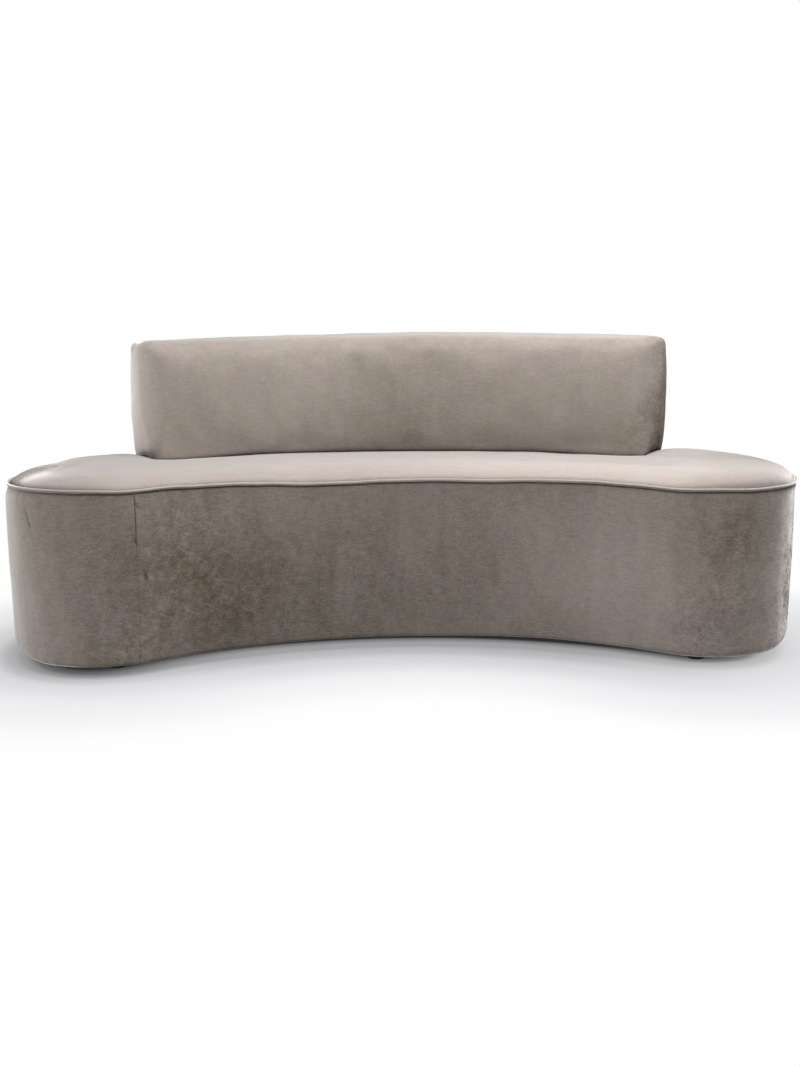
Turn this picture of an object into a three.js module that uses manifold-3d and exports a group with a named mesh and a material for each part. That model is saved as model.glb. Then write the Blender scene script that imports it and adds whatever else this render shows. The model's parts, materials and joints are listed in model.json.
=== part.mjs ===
// Curved sofa: a kidney-shaped upholstered base, with a curved back standing on its rear half.
// Millimetres. X runs across the front, Y from front to rear, Z up from the floor.
// In plan the front bay, the back and the rear edge are arcs about one point in front of the
// sofa, the bay centre. A nose arc and a shoulder arc join bay and rear at each end.
import * as THREE from 'three';
import { mergeVertices } from 'three/addons/utils/BufferGeometryUtils.js';
import Module from 'manifold-3d';

const wasm = await Module();
wasm.setup();

const degrees = THREE.MathUtils.degToRad;

// Plan of the base
const bayRadius = 975; // concave front, from the bay centre
const noseRadius = 217; // front of each rounded end
const noseAngle = degrees(38.6); // direction of the nose centre, from straight back
const shoulderRadius = 441; // rear of each rounded end
const seatDepth = 450; // bay front to the foot of the back
const backDepth = 200; // thickness of the back where it stands on the seat
const rearLedge = 8; // edge and welt of the seat left bare behind the back

// Heights
const footHeight = 30;
const weltLevel = 430; // top of the base cover, where the welt lies
const seatCrown = 33; // rise of the seat panel above its edge
const crownRun = 140; // distance over which the panel rises
const backTop = 802;
const backDroop = 12; // fall of the back's top edge towards its ends

// Back
const backHalfAngle = degrees(27.8);
const backRake = 66; // how far the front face leans rearwards, from foot to top
const backTopRound = 45; // rounding of the top's front edge
const backRearRound = 38; // rounding of the top's rear edge
const backEndRound = 24; // rounding of the end faces
const backFoamThickness = 28;
const backRailThickness = 25;
const backRailLift = 3; // bottom rail's underside above the crown of the seat
const backTopCushion = 42; // padding over the top rail, at the ends of the back
const backPanelThickness = 4;
const backRearPadding = 22;
const backPostDepth = 45;
const backPostWidth = 35;
const backPostAngles = [degrees(-21), degrees(-8), degrees(8), degrees(21)];
const endBoardThickness = 15;
const endBoardSetback = 30; // end board's middle, in from the end of the back

// Covers, padding and trim
const coverThickness = 2;
const coverTurnUnder = 60; // cover folded and stapled beneath the base
const coverLowerRound = 16;
const sidePaddingThickness = 12;
const dustCoverThickness = 1.2;
const weltRadius = 5;
const weltSetback = 1; // welt's middle, in from the face of the base
const foamEdgeHeight = 58; // seat foam at its edge, deck to welt

// Timber frame
const sideBoardThickness = 5;
const bottomBoardThickness = 15;
const deckThickness = 15;
const ribThickness = 18;
const ribBorder = 60; // solid border round each rib's window
const ribPitch = degrees(12);
const endRibShare = 0.7; // last rib's distance from the nose centre, as a share of the nose radius
const openingFrontRim = 110; // deck left solid behind the front
const openingRearRim = 233; // deck left solid under the back
const endOpeningRearRim = 353;
const openingSideAngle = degrees(1.6); // deck left solid on each side of a rib

// Webbing
const strapWidth = 60;
const strapThickness = 2;
const strapLap = 30; // strap stapled on the deck beyond its opening

// Feet: six screwed plastic glides
const footTopRadius = 24;
const footBaseRadius = 21;
const footEdge = 3;
const footCounterbore = 9;
const footCounterboreDepth = 14;
const screwRadius = 3;
const screwHeadRadius = 6.5;
const screwHeadHeight = 4;
const screwBite = 12; // screw's length in the bottom board
const noseFootAngle = degrees(40.5);
const noseFootInset = 120; // nose feet, out from the bay's radius
const middleFootInset = 260;
const rearFootInset = 110; // rear feet, in from the rear edge

// Fixing of the back: bolts through spacer blocks that stand on the deck
const boltRadius = 5;
const boltHeadRadius = 10;
const boltHeadHeight = 6;
const boltAngles = [degrees(-18), degrees(-6), degrees(6), degrees(18)];
const blockDepth = 70;
const blockWidth = 90;

const gap = 0.3; // between pieces that touch
const overrun = 20; // how far a cutting shape passes the piece that it cuts
const facetSag = 1.5; // flat facets stay this close to the true curve
const roundFacets = 12;
const weltFacets = 8;
const crownShares = [0, 0.12, 0.28, 0.48, 0.72, 1];

// Values that follow from the sizes above
const rearRadius = bayRadius + seatDepth + backDepth + rearLedge;
const noseReach = bayRadius + noseRadius; // bay centre to nose centre
const shoulderReach = rearRadius - shoulderRadius; // bay centre to shoulder centre
const endRibAngle = noseAngle + Math.asin((endRibShare * noseRadius) / noseReach);
const endRadiusStep = shoulderRadius - noseRadius;
const shoulderAngle = noseAngle - Math.acos(
  (shoulderReach ** 2 + noseReach ** 2 - endRadiusStep ** 2) / (2 * shoulderReach * noseReach),
);
const backFront = bayRadius + seatDepth;
const backRear = backFront + backDepth;
const backMiddle = (backFront + backRear) / 2;

const dustLevel = footHeight + gap;
const coverLevel = dustLevel + dustCoverThickness + gap;
const bottomBoardLevel = coverLevel + coverThickness + gap;
const ribLevel = bottomBoardLevel + bottomBoardThickness + gap;
const deckTop = weltLevel - foamEdgeHeight;
const deckLevel = deckTop - deckThickness;
const strapLevel = deckTop + gap;
const foamLevel = strapLevel + strapThickness + gap;
const panelEdgeLevel = weltLevel + weltRadius;
const seatTop = panelEdgeLevel + seatCrown;

const paddingInset = coverThickness + gap;
const sideBoardInset = paddingInset + sidePaddingThickness + gap;
const frameInset = sideBoardInset + sideBoardThickness + gap;
const panelEdgeInset = weltSetback + weltRadius + gap;

const rake = Math.atan(backRake / (backTop - seatTop));
const backRailLevel = seatTop + backRailLift;
const backRailTop = backRailLevel + backRailThickness;
const backFrameTop = backTop - backDroop - backTopCushion;
const topRailLevel = backFrameTop - backRailThickness;
const foamInset = coverThickness + gap;
const frontPanelInset = foamInset + backFoamThickness + gap;
const rearPaddingFace = backRear - coverThickness - gap;
const rearPanelFace = rearPaddingFace - backRearPadding - gap;
const backFrameRear = rearPanelFace - backPanelThickness - gap;
const endBoardAngle = backHalfAngle - endBoardSetback / backMiddle;
const runAngle = endBoardAngle - (endBoardThickness / 2 + gap) / backFront; // end of rails and panels
const paddedAngle = backHalfAngle - backEndRound / backMiddle; // end of foam and padding

// Polar places about the bay centre: angles are measured from straight back, towards +X.
const polar = (radius, angle) => new THREE.Vector2(radius * Math.sin(angle), radius * Math.cos(angle));
const noseCentre = polar(noseReach, noseAngle);
const shoulderCentre = polar(shoulderReach, shoulderAngle);
const endAxis = noseCentre.clone().sub(shoulderCentre);
const endTurn = Math.atan2(endAxis.x, endAxis.y);
const bayCentre = new THREE.Vector2();

// The right half of the outline, from the middle of the bay round to the middle of the rear.
// A positive side swells outwards as the outline grows, a negative one is hollow.
const outlineArcs = [
  { centre: bayCentre, radius: bayRadius, side: -1, from: 0, to: noseAngle },
  { centre: noseCentre, radius: noseRadius, side: 1, from: noseAngle + Math.PI, to: endTurn },
  { centre: shoulderCentre, radius: shoulderRadius, side: 1, from: endTurn, to: shoulderAngle },
  { centre: bayCentre, radius: rearRadius, side: 1, from: shoulderAngle, to: 0 },
];

function arcSteps(radius, angle) {
  return Math.max(2, Math.ceil(Math.abs(angle) / (2 * Math.acos(1 - facetSag / radius))));
}

// Closed outline of the base, grown outwards by offset. Every offset has the same number of points.
function outline(offset) {
  const right = [];
  for (const { centre, radius, side, from, to } of outlineArcs) {
    const steps = arcSteps(radius, to - from);
    for (let i = 0; i < steps; i += 1) {
      const angle = THREE.MathUtils.lerp(from, to, i / steps);
      right.push(polar(radius + side * offset, angle).add(centre));
    }
  }
  right.push(polar(rearRadius + offset, 0));
  const left = right.slice(1, -1).reverse().map((point) => new THREE.Vector2(-point.x, point.y));
  return [...right, ...left];
}

// A ring is a flat contour, wound anticlockwise, with the place of each of its points in space.
function planRing(offset, level) {
  const flat = outline(offset);
  return { flat, points: flat.map((point) => new THREE.Vector3(point.x, point.y, level)) };
}

function sectionRing(flat, angle) {
  const points = flat.map((point) => {
    const place = polar(point.x, angle);
    return new THREE.Vector3(place.x, place.y, point.y);
  });
  return { flat, points };
}

// Skin over successive rings: open rings are capped at both ends, closed ones join last to first.
function loft(rings, closed = false) {
  const count = rings[0].points.length;
  const index = [];
  const joins = closed ? rings.length : rings.length - 1;
  for (let ring = 0; ring < joins; ring += 1) {
    const low = ring * count;
    const high = ((ring + 1) % rings.length) * count;
    for (let i = 0; i < count; i += 1) {
      const next = (i + 1) % count;
      index.push(low + i, low + next, high + next);
      index.push(low + i, high + next, high + i);
    }
  }
  if (!closed) {
    const last = (rings.length - 1) * count;
    for (const [a, b, c] of THREE.ShapeUtils.triangulateShape(rings[0].flat, [])) {
      index.push(c, b, a);
    }
    for (const [a, b, c] of THREE.ShapeUtils.triangulateShape(rings.at(-1).flat, [])) {
      index.push(last + a, last + b, last + c);
    }
  }
  const geometry = new THREE.BufferGeometry();
  const positions = rings.flatMap((ring) => ring.points.flatMap((point) => point.toArray()));
  geometry.setAttribute('position', new THREE.Float32BufferAttribute(positions, 3));
  geometry.setIndex(index);
  geometry.computeVertexNormals();
  return geometry;
}

// A closed profile of [offset, level] points carried once round the base.
function band(profile) {
  return loft(profile.map(([offset, level]) => planRing(offset, level)), true);
}

// Points of a quarter-like arc in a profile, both ends included.
function profileArc(centreOffset, centreLevel, radius, from, to, steps) {
  return Array.from({ length: steps + 1 }, (_, i) => {
    const angle = THREE.MathUtils.lerp(from, to, i / steps);
    return [centreOffset + radius * Math.cos(angle), centreLevel + radius * Math.sin(angle)];
  });
}

function plate(contour, holes, level, thickness) {
  const shape = new THREE.Shape(contour);
  shape.holes = holes.map((hole) => new THREE.Path([...hole].reverse()));
  const geometry = new THREE.ExtrudeGeometry(shape, { depth: thickness, bevelEnabled: false });
  return geometry.translate(0, 0, level);
}

// Anticlockwise contour of a piece of ring about the bay centre, with facets at the given angles.
function sector(inner, outer, angles) {
  const inside = angles.map((angle) => polar(inner, angle));
  const outside = angles.map((angle) => polar(outer, angle)).reverse();
  return [...inside, ...outside];
}

function circle(centre, radius) {
  return Array.from({ length: roundFacets }, (_, i) => {
    const angle = (-2 * Math.PI * i) / roundFacets;
    return polar(radius, angle).add(centre);
  });
}

function turned(profile) {
  const points = profile.map(([radius, level]) => new THREE.Vector2(radius, level));
  return new THREE.LatheGeometry(points, roundFacets).rotateX(Math.PI / 2);
}

function toSolid(geometry) {
  const bare = geometry.clone();
  bare.deleteAttribute('normal');
  bare.deleteAttribute('uv');
  const merged = mergeVertices(bare);
  return new wasm.Manifold(new wasm.Mesh({
    numProp: 3,
    vertProperties: new Float32Array(merged.attributes.position.array),
    triVerts: new Uint32Array(merged.index.array),
  }));
}

function cut(geometry, cutters) {
  let solid = toSolid(geometry);
  for (const cutter of cutters) {
    solid = solid.subtract(toSolid(cutter));
  }
  const { vertProperties, triVerts } = solid.getMesh();
  const result = new THREE.BufferGeometry();
  result.setAttribute('position', new THREE.BufferAttribute(vertProperties, 3));
  result.setIndex(new THREE.BufferAttribute(triVerts, 1));
  result.computeVertexNormals();
  return result;
}

const finishes = {
  velvet: { color: '#91867c', roughness: 0.85, metalness: 0 },
  foam: { color: '#e6ddb8', roughness: 0.95, metalness: 0 },
  wadding: { color: '#efefec', roughness: 1, metalness: 0 },
  plywood: { color: '#c9a878', roughness: 0.75, metalness: 0 },
  timber: { color: '#d8bb8c', roughness: 0.7, metalness: 0 },
  webbing: { color: '#3a3733', roughness: 0.9, metalness: 0 },
  dustCloth: { color: '#26262a', roughness: 0.95, metalness: 0 },
  plastic: { color: '#17171a', roughness: 0.5, metalness: 0 },
  steel: { color: '#a9adb2', roughness: 0.35, metalness: 0.9 },
};

// The group's own origin is the bay centre. It is moved so that the sofa stands over the row's origin.
const sofa = new THREE.Group();
const frontEdge = noseCentre.y - noseRadius;
sofa.position.y = -(frontEdge + rearRadius) / 2;

function add(name, geometry, finish, parent = sofa) {
  const mesh = new THREE.Mesh(geometry, new THREE.MeshStandardMaterial(finishes[finish]));
  mesh.name = name;
  parent.add(mesh);
  return mesh;
}

// A group whose +X runs outwards along a radius of the bay centre.
function spoke(angle) {
  const group = new THREE.Group();
  group.rotation.z = Math.PI / 2 - angle;
  sofa.add(group);
  return group;
}

// A board that stands on edge along a spoke. Its outline is given in radius and height.
function standingBoard(corners, hole, thickness) {
  const shape = new THREE.Shape(corners);
  if (hole) shape.holes = [new THREE.Path([...hole].reverse())];
  const geometry = new THREE.ExtrudeGeometry(shape, { depth: thickness, bevelEnabled: false });
  return geometry.rotateX(Math.PI / 2).translate(0, thickness / 2, 0);
}

function rectangle(left, right, low, high) {
  return [
    new THREE.Vector2(left, low),
    new THREE.Vector2(right, low),
    new THREE.Vector2(right, high),
    new THREE.Vector2(left, high),
  ];
}

// Distances from the bay centre to the inside of the frame, along a spoke.
function frontReach(angle, inset) {
  if (angle <= noseAngle) return bayRadius + inset;
  const side = noseReach * Math.sin(angle - noseAngle);
  return noseReach * Math.cos(angle - noseAngle) - Math.sqrt((noseRadius - inset) ** 2 - side ** 2);
}

function rearReach(angle, inset) {
  if (angle <= shoulderAngle) return rearRadius - inset;
  const side = shoulderReach * Math.sin(angle - shoulderAngle);
  const along = shoulderReach * Math.cos(angle - shoulderAngle);
  return along + Math.sqrt((shoulderRadius - inset) ** 2 - side ** 2);
}

const ribAngles = [0, ribPitch, 2 * ribPitch, 3 * ribPitch, endRibAngle];
const bothSides = (angles) => angles.flatMap((angle) => (angle === 0 ? [0] : [-angle, angle]));
const allRibAngles = bothSides(ribAngles).sort((a, b) => a - b);

// One deck opening, and one strap across it, between each rib and the next.
const openings = allRibAngles.slice(1).map((angle, i) => {
  const from = allRibAngles[i] + openingSideAngle;
  const to = angle - openingSideAngle;
  const atEnd = Math.max(-from, to) > 3 * ribPitch;
  const inner = bayRadius + openingFrontRim;
  const outer = rearRadius - (atEnd ? endOpeningRearRim : openingRearRim);
  return { from, to, inner, outer };
});

const bottomFeet = [
  ...[-noseFootAngle, noseFootAngle].map((angle) => ({ angle, radius: bayRadius + noseFootInset })),
  ...[-ribPitch, ribPitch].map((angle) => ({ angle, radius: bayRadius + middleFootInset })),
  ...[-2 * ribPitch, 2 * ribPitch].map((angle) => ({ angle, radius: rearRadius - rearFootInset })),
];

function addBaseFrame() {
  const footHoles = bottomFeet.map(({ angle, radius }) => circle(polar(radius, angle), screwRadius + gap));
  const boltHoles = boltAngles.map((angle) => circle(polar(backMiddle, angle), boltRadius + gap));
  const deckOpenings = openings.map(({ inner, outer, from, to }) => {
    const steps = arcSteps(outer, to - from);
    const angles = Array.from({ length: steps + 1 }, (_, i) => THREE.MathUtils.lerp(from, to, i / steps));
    return sector(inner, outer, angles);
  });

  const bottom = plate(outline(-frameInset), footHoles, bottomBoardLevel, bottomBoardThickness);
  add('base_bottom_board', bottom, 'plywood');
  const deckHoles = [...deckOpenings, ...boltHoles];
  add('seat_deck_board', plate(outline(-frameInset), deckHoles, deckLevel, deckThickness), 'plywood');

  const outer = -sideBoardInset;
  const inner = outer - sideBoardThickness;
  const low = bottomBoardLevel + gap;
  add('base_side_board', band([[inner, low], [outer, low], [outer, deckTop], [inner, deckTop]]), 'plywood');

  allRibAngles.forEach((angle, i) => {
    const tilt = Math.abs(angle);
    const skew = ribThickness / 2; // room for the rib's corners where the wall slants
    const wallInset = frameInset + facetSag;
    const front = frontReach(tilt, wallInset + (tilt > noseAngle ? skew : 0));
    const rear = rearReach(tilt, wallInset + (tilt > shoulderAngle ? skew : 0));
    const top = deckLevel - gap;
    const corners = rectangle(front, rear, ribLevel, top);
    const hole = rectangle(front + ribBorder, rear - ribBorder, ribLevel + ribBorder, top - ribBorder);
    add(`base_rib_${i + 1}`, standingBoard(corners, hole, ribThickness), 'plywood', spoke(angle));
  });
}

function addSeat() {
  openings.forEach(({ from, to, inner, outer }, i) => {
    const length = outer - inner + 2 * strapLap;
    const strap = new THREE.BoxGeometry(length, strapWidth, strapThickness);
    const mesh = add(`seat_strap_${i + 1}`, strap, 'webbing', spoke((from + to) / 2));
    mesh.position.set((inner + outer) / 2, 0, strapLevel + strapThickness / 2);
  });

  const pocket = (clearance) => boltAngles.map((angle) => {
    const height = seatTop + overrun - deckTop;
    const box = new THREE.BoxGeometry(blockDepth + 2 * clearance, blockWidth + 2 * clearance, height);
    return box.translate(backMiddle, 0, deckTop + height / 2).rotateZ(Math.PI / 2 - angle);
  });

  const drop = coverThickness + gap;
  const foamRings = crownRings(sideBoardInset, -drop);
  const foam = loft([planRing(-sideBoardInset, foamLevel), ...foamRings]);
  add('seat_foam', cut(foam, pocket(gap)), 'foam');

  const under = crownRings(panelEdgeInset, -coverThickness).reverse();
  const over = crownRings(panelEdgeInset, 0);
  add('seat_cover', cut(loft([...under, ...over]), pocket(gap)), 'velvet');
}

// Height of the seat panel at a distance in from its sewn edge.
function panelLevel(distance) {
  const rest = 1 - Math.min(distance / crownRun, 1);
  return panelEdgeLevel + seatCrown * (1 - rest ** 2);
}

// Rings up the crowned panel, from an inset inside the outline to its flat middle.
function crownRings(inset, drop) {
  const distances = crownShares.map((share) => share * crownRun);
  const first = inset - panelEdgeInset;
  return [first, ...distances.filter((distance) => distance > first + overrun / 4)].map(
    (distance) => planRing(-panelEdgeInset - distance, panelLevel(distance) + drop),
  );
}

function addBaseCover() {
  const roundLevel = coverLevel + coverLowerRound;
  const rounded = (radius) => profileArc(-coverLowerRound, roundLevel, radius, -Math.PI / 2, 0, 4);
  const innerRadius = coverLowerRound - coverThickness;
  const coverTop = weltLevel - gap;
  add('base_cover', band([
    [-coverTurnUnder, coverLevel],
    ...rounded(coverLowerRound),
    [0, coverTop],
    [-coverThickness, coverTop],
    ...rounded(innerRadius).reverse(),
    [-coverTurnUnder, coverLevel + coverThickness],
  ]), 'velvet');

  const paddingRadius = innerRadius - gap;
  const paddingBack = paddingInset + sidePaddingThickness;
  const startAngle = -Math.acos((coverLowerRound - paddingBack) / paddingRadius);
  add('base_side_padding', band([
    ...profileArc(-coverLowerRound, roundLevel, paddingRadius, startAngle, 0, 3),
    [-paddingInset, coverTop - gap],
    [-paddingBack, coverTop - gap],
  ]), 'wadding');

  const welt = profileArc(
    -weltSetback, panelEdgeLevel, weltRadius, -Math.PI / 2, 1.5 * Math.PI, weltFacets,
  ).slice(0, -1);
  add('seat_welt', band(welt), 'velvet');

  const footHoles = bottomFeet.map(({ angle, radius }) => circle(polar(radius, angle), screwRadius + gap));
  const dustCover = plate(outline(-frameInset), footHoles, dustLevel, dustCoverThickness);
  add('dust_cover', dustCover, 'dustCloth');
}

function addFeet() {
  const bore = screwRadius + gap;
  const foot = turned([
    [bore, footCounterboreDepth],
    [footCounterbore, footCounterboreDepth],
    [footCounterbore, 0],
    [footBaseRadius - footEdge, 0],
    [footBaseRadius, footEdge],
    [footTopRadius, footHeight],
    [bore, footHeight],
    [bore, footCounterboreDepth],
  ]);
  const headTop = footCounterboreDepth - gap;
  const screw = turned([
    [0, headTop - screwHeadHeight],
    [screwHeadRadius, headTop - screwHeadHeight],
    [screwHeadRadius, headTop],
    [screwRadius, headTop],
    [screwRadius, bottomBoardLevel + screwBite],
    [0, bottomBoardLevel + screwBite],
  ]);
  bottomFeet.forEach(({ angle, radius }, i) => {
    const place = spoke(angle);
    add(`foot_${i + 1}`, foot, 'plastic', place).position.x = radius;
    add(`foot_screw_${i + 1}`, screw, 'steel', place).position.x = radius;
  });
}

// Radius of the back's front face at a height, set in behind the surface.
function faceRadius(level, inset) {
  return backFront + (level - seatTop) * Math.tan(rake) + inset / Math.cos(rake);
}

// Fall of the back's top at an angle from the middle.
const topFall = (angle) => backDroop * (angle / backHalfAngle) ** 2;

// Outer half of the back's section: up the rear, over the top and down the leaning front face.
function backSkin(inset, angle) {
  const top = backTop - topFall(angle) - inset;
  const frontRound = Math.max(backTopRound - inset, facetSag);
  const rearRound = Math.max(backRearRound - inset, facetSag);
  const rear = backRear - inset;
  const frontCentre = faceRadius(top - frontRound, inset) + frontRound / Math.cos(rake);
  return [
    ...profileArc(rear - rearRound, top - rearRound, rearRound, 0, Math.PI / 2, 3),
    ...profileArc(frontCentre, top - frontRound, frontRound, Math.PI / 2, Math.PI - rake, 4),
  ];
}

const toContour = (points) => points.map(([radius, level]) => new THREE.Vector2(radius, level));

// The rear arc's own facet angles, so that the back and the seat have their facets in line.
const rearSteps = arcSteps(rearRadius, shoulderAngle);
const rearAngles = Array.from(
  { length: 2 * rearSteps + 1 },
  (_, i) => (shoulderAngle * (i - rearSteps)) / rearSteps,
);

// Angles along the back between two ends. Every run of the back has the same facets in between.
function backStations(endAngle) {
  const margin = facetSag / backMiddle;
  const shared = [...rearAngles, -runAngle, runAngle].sort((a, b) => a - b);
  return [-endAngle, ...shared.filter((angle) => Math.abs(angle) < endAngle - margin), endAngle];
}

// Solid of the back, set in from its outer surface, with rounded ends. Its underside follows the seat.
function backSolid(inset, underside) {
  const round = backEndRound - inset;
  const endSteps = 3;
  const ends = Array.from({ length: endSteps }, (_, i) => {
    const turn = (i / endSteps) * (Math.PI / 2);
    const setback = inset + round * (1 - Math.cos(turn));
    return { angle: backHalfAngle - setback / backMiddle, tuck: round * (1 - Math.sin(turn)) };
  });
  const stations = [
    ...ends.map(({ angle, tuck }) => ({ angle: -angle, tuck })),
    ...backStations(paddedAngle).map((angle) => ({ angle, tuck: 0 })),
    ...ends.reverse(),
  ];
  return loft(stations.map(({ angle, tuck }) => {
    const section = [...underside(inset + tuck), ...backSkin(inset + tuck, angle)];
    return sectionRing(toContour(section), angle);
  }));
}

// Underside that lies on the crowned seat, from front to rear. It bends where the seat's rings lie,
// and a bend past either end is drawn in beside that end.
function seatedUnderside(inset) {
  const front = faceRadius(seatTop, inset);
  const rear = backRear - inset;
  const panelEdge = rearRadius - panelEdgeInset;
  const bends = crownShares.map((share) => panelEdge - share * crownRun).reverse();
  const radii = [front, ...bends, rear];
  return radii.map((bend, i) => {
    const nearest = front + i * gap;
    const farthest = rear - (radii.length - 1 - i) * gap;
    const radius = THREE.MathUtils.clamp(bend, nearest, farthest);
    return [radius, panelLevel(panelEdge - radius) + gap];
  });
}

// Underside far below the seat, for a cutter that leaves the cover open beneath.
function openUnderside(inset) {
  const level = panelEdgeLevel - overrun;
  return [[faceRadius(level, inset), level], [backRear - inset, level]];
}

// A section of fixed shape carried along the back between two ends.
function backRun(sectionAt, endAngle) {
  return loft(backStations(endAngle).map((angle) => sectionRing(toContour(sectionAt(angle)), angle)));
}

function addBack() {
  add('back_cover', cut(backSolid(0, seatedUnderside), [backSolid(coverThickness, openUnderside)]), 'velvet');

  const low = backRailLevel;
  const high = backFrameTop;

  add('back_foam', backRun((angle) => [
    [faceRadius(low, foamInset), low],
    [faceRadius(low, foamInset + backFoamThickness), low],
    [faceRadius(high + gap, foamInset + backFoamThickness), high + gap],
    [rearPaddingFace, high + gap],
    ...backSkin(foamInset, angle),
  ], paddedAngle), 'foam');

  add('back_front_panel', backRun(() => [
    [faceRadius(low, frontPanelInset), low],
    [faceRadius(low, frontPanelInset + backPanelThickness), low],
    [faceRadius(high, frontPanelInset + backPanelThickness), high],
    [faceRadius(high, frontPanelInset), high],
  ], runAngle), 'plywood');
  const rearPanel = rectangle(rearPanelFace - backPanelThickness, rearPanelFace, low, high);
  add('back_rear_panel', backRun(() => rearPanel.map((point) => point.toArray()), runAngle), 'plywood');
  const rearPad = rectangle(rearPanelFace + gap, rearPaddingFace, low, high);
  add('back_rear_padding', backRun(() => rearPad.map((point) => point.toArray()), paddedAngle), 'wadding');

  const frameFront = (level) => faceRadius(level, frontPanelInset + backPanelThickness + gap);
  const railHoles = boltAngles.map((angle) => circle(polar(backMiddle, angle), boltRadius + gap));
  const railContour = (front) => sector(front, backFrameRear, backStations(runAngle));
  const bottomRail = plate(railContour(frameFront(backRailTop)), railHoles, low, backRailThickness);
  add('back_bottom_rail', bottomRail, 'timber');
  const topRail = plate(railContour(frameFront(high)), [], topRailLevel, backRailThickness);
  add('back_top_rail', topRail, 'timber');

  const postHeight = topRailLevel - backRailTop - 2 * gap;
  backPostAngles.forEach((angle, i) => {
    const post = new THREE.BoxGeometry(backPostDepth, backPostWidth, postHeight);
    const mesh = add(`back_post_${i + 1}`, post, 'timber', spoke(angle));
    const postRear = backFrameRear - facetSag;
    mesh.position.set(postRear - backPostDepth / 2, 0, backRailTop + gap + postHeight / 2);
  });

  for (const [side, sign] of [['left', -1], ['right', 1]]) {
    const rear = rearPanelFace - facetSag;
    const corners = toContour([
      [faceRadius(low, frontPanelInset), low],
      [rear, low],
      [rear, high],
      [faceRadius(high, frontPanelInset), high],
    ]);
    const board = standingBoard(corners, null, endBoardThickness);
    add(`back_end_board_${side}`, board, 'plywood', spoke(sign * endBoardAngle));
  }
}

function addBackFixings() {
  const blockLevel = deckTop + gap;
  const blockHeight = backRailLevel - gap - blockLevel;
  const halfDepth = blockDepth / 2;
  const halfWidth = blockWidth / 2;
  const hole = circle(bayCentre, boltRadius + gap);
  const blockFace = rectangle(-halfDepth, halfDepth, -halfWidth, halfWidth);
  const block = plate(blockFace, [hole], blockLevel, blockHeight);
  const headTop = deckLevel - gap;
  const bolt = turned([
    [0, headTop - boltHeadHeight],
    [boltHeadRadius, headTop - boltHeadHeight],
    [boltHeadRadius, headTop],
    [boltRadius, headTop],
    [boltRadius, backRailTop - gap],
    [0, backRailTop - gap],
  ]);
  boltAngles.forEach((angle, i) => {
    const place = spoke(angle);
    add(`back_block_${i + 1}`, block, 'timber', place).position.x = backMiddle;
    add(`back_bolt_${i + 1}`, bolt, 'steel', place).position.x = backMiddle;
  });
}

addBaseFrame();
addSeat();
addBaseCover();
addFeet();
addBack();
addBackFixings();

export default sofa;
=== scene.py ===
import json
import math

import bmesh
import bpy
import numpy as np
from mathutils import Matrix, Vector, geometry

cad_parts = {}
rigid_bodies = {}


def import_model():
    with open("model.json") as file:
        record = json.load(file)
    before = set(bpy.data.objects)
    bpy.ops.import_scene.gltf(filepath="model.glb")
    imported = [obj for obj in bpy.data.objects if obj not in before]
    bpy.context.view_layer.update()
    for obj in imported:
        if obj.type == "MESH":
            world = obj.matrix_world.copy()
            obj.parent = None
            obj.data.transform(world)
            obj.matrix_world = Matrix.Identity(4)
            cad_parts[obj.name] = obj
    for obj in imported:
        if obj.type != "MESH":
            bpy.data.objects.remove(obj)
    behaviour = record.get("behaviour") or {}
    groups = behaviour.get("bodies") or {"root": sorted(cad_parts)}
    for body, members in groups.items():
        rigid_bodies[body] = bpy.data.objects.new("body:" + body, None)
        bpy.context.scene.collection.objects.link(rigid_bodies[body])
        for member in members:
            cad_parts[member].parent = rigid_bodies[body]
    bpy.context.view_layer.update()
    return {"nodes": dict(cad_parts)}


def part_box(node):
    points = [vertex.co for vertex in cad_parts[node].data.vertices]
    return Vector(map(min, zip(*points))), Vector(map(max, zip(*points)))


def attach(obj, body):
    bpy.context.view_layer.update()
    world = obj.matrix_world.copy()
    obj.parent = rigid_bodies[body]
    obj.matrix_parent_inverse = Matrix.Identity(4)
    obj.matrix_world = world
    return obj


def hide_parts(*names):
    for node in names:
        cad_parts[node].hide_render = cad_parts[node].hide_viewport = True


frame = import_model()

# Curved sofa: the velvet, padding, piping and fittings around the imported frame. Metres, +Y to the rear.
scene = bpy.context.scene

# Camera first, where the photograph was taken from
photo = {
    "height": 1066,  # px
    "focal": 1200,  # px
    "sensor": 36.0,  # mm, along the longer side
    "place": (-0.138, -3.202, 0.771),
    "yaw": 2.33,  # degrees, towards +X
    "pitch": 8.94,  # downwards
    "roll": -0.23,
}


def makeCamera():
    yaw, pitch, roll = (math.radians(photo[key]) for key in ("yaw", "pitch", "roll"))
    ahead = Vector((math.sin(yaw) * math.cos(pitch), math.cos(yaw) * math.cos(pitch), -math.sin(pitch)))
    level = Vector((math.cos(yaw), -math.sin(yaw), 0))
    rise = level.cross(ahead)
    across = level * math.cos(roll) + rise * math.sin(roll)
    upward = rise * math.cos(roll) - level * math.sin(roll)
    data = bpy.data.cameras.new("photoCamera")
    data.sensor_width = photo["sensor"]
    data.lens = photo["focal"] * photo["sensor"] / photo["height"]
    camera = bpy.data.objects.new("photoCamera", data)
    turn = Matrix((across, upward, -ahead)).transposed().to_4x4()
    camera.matrix_world = Matrix.Translation(photo["place"]) @ turn
    scene.collection.objects.link(camera)
    scene.camera = camera


makeCamera()
print("camera set")


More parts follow.
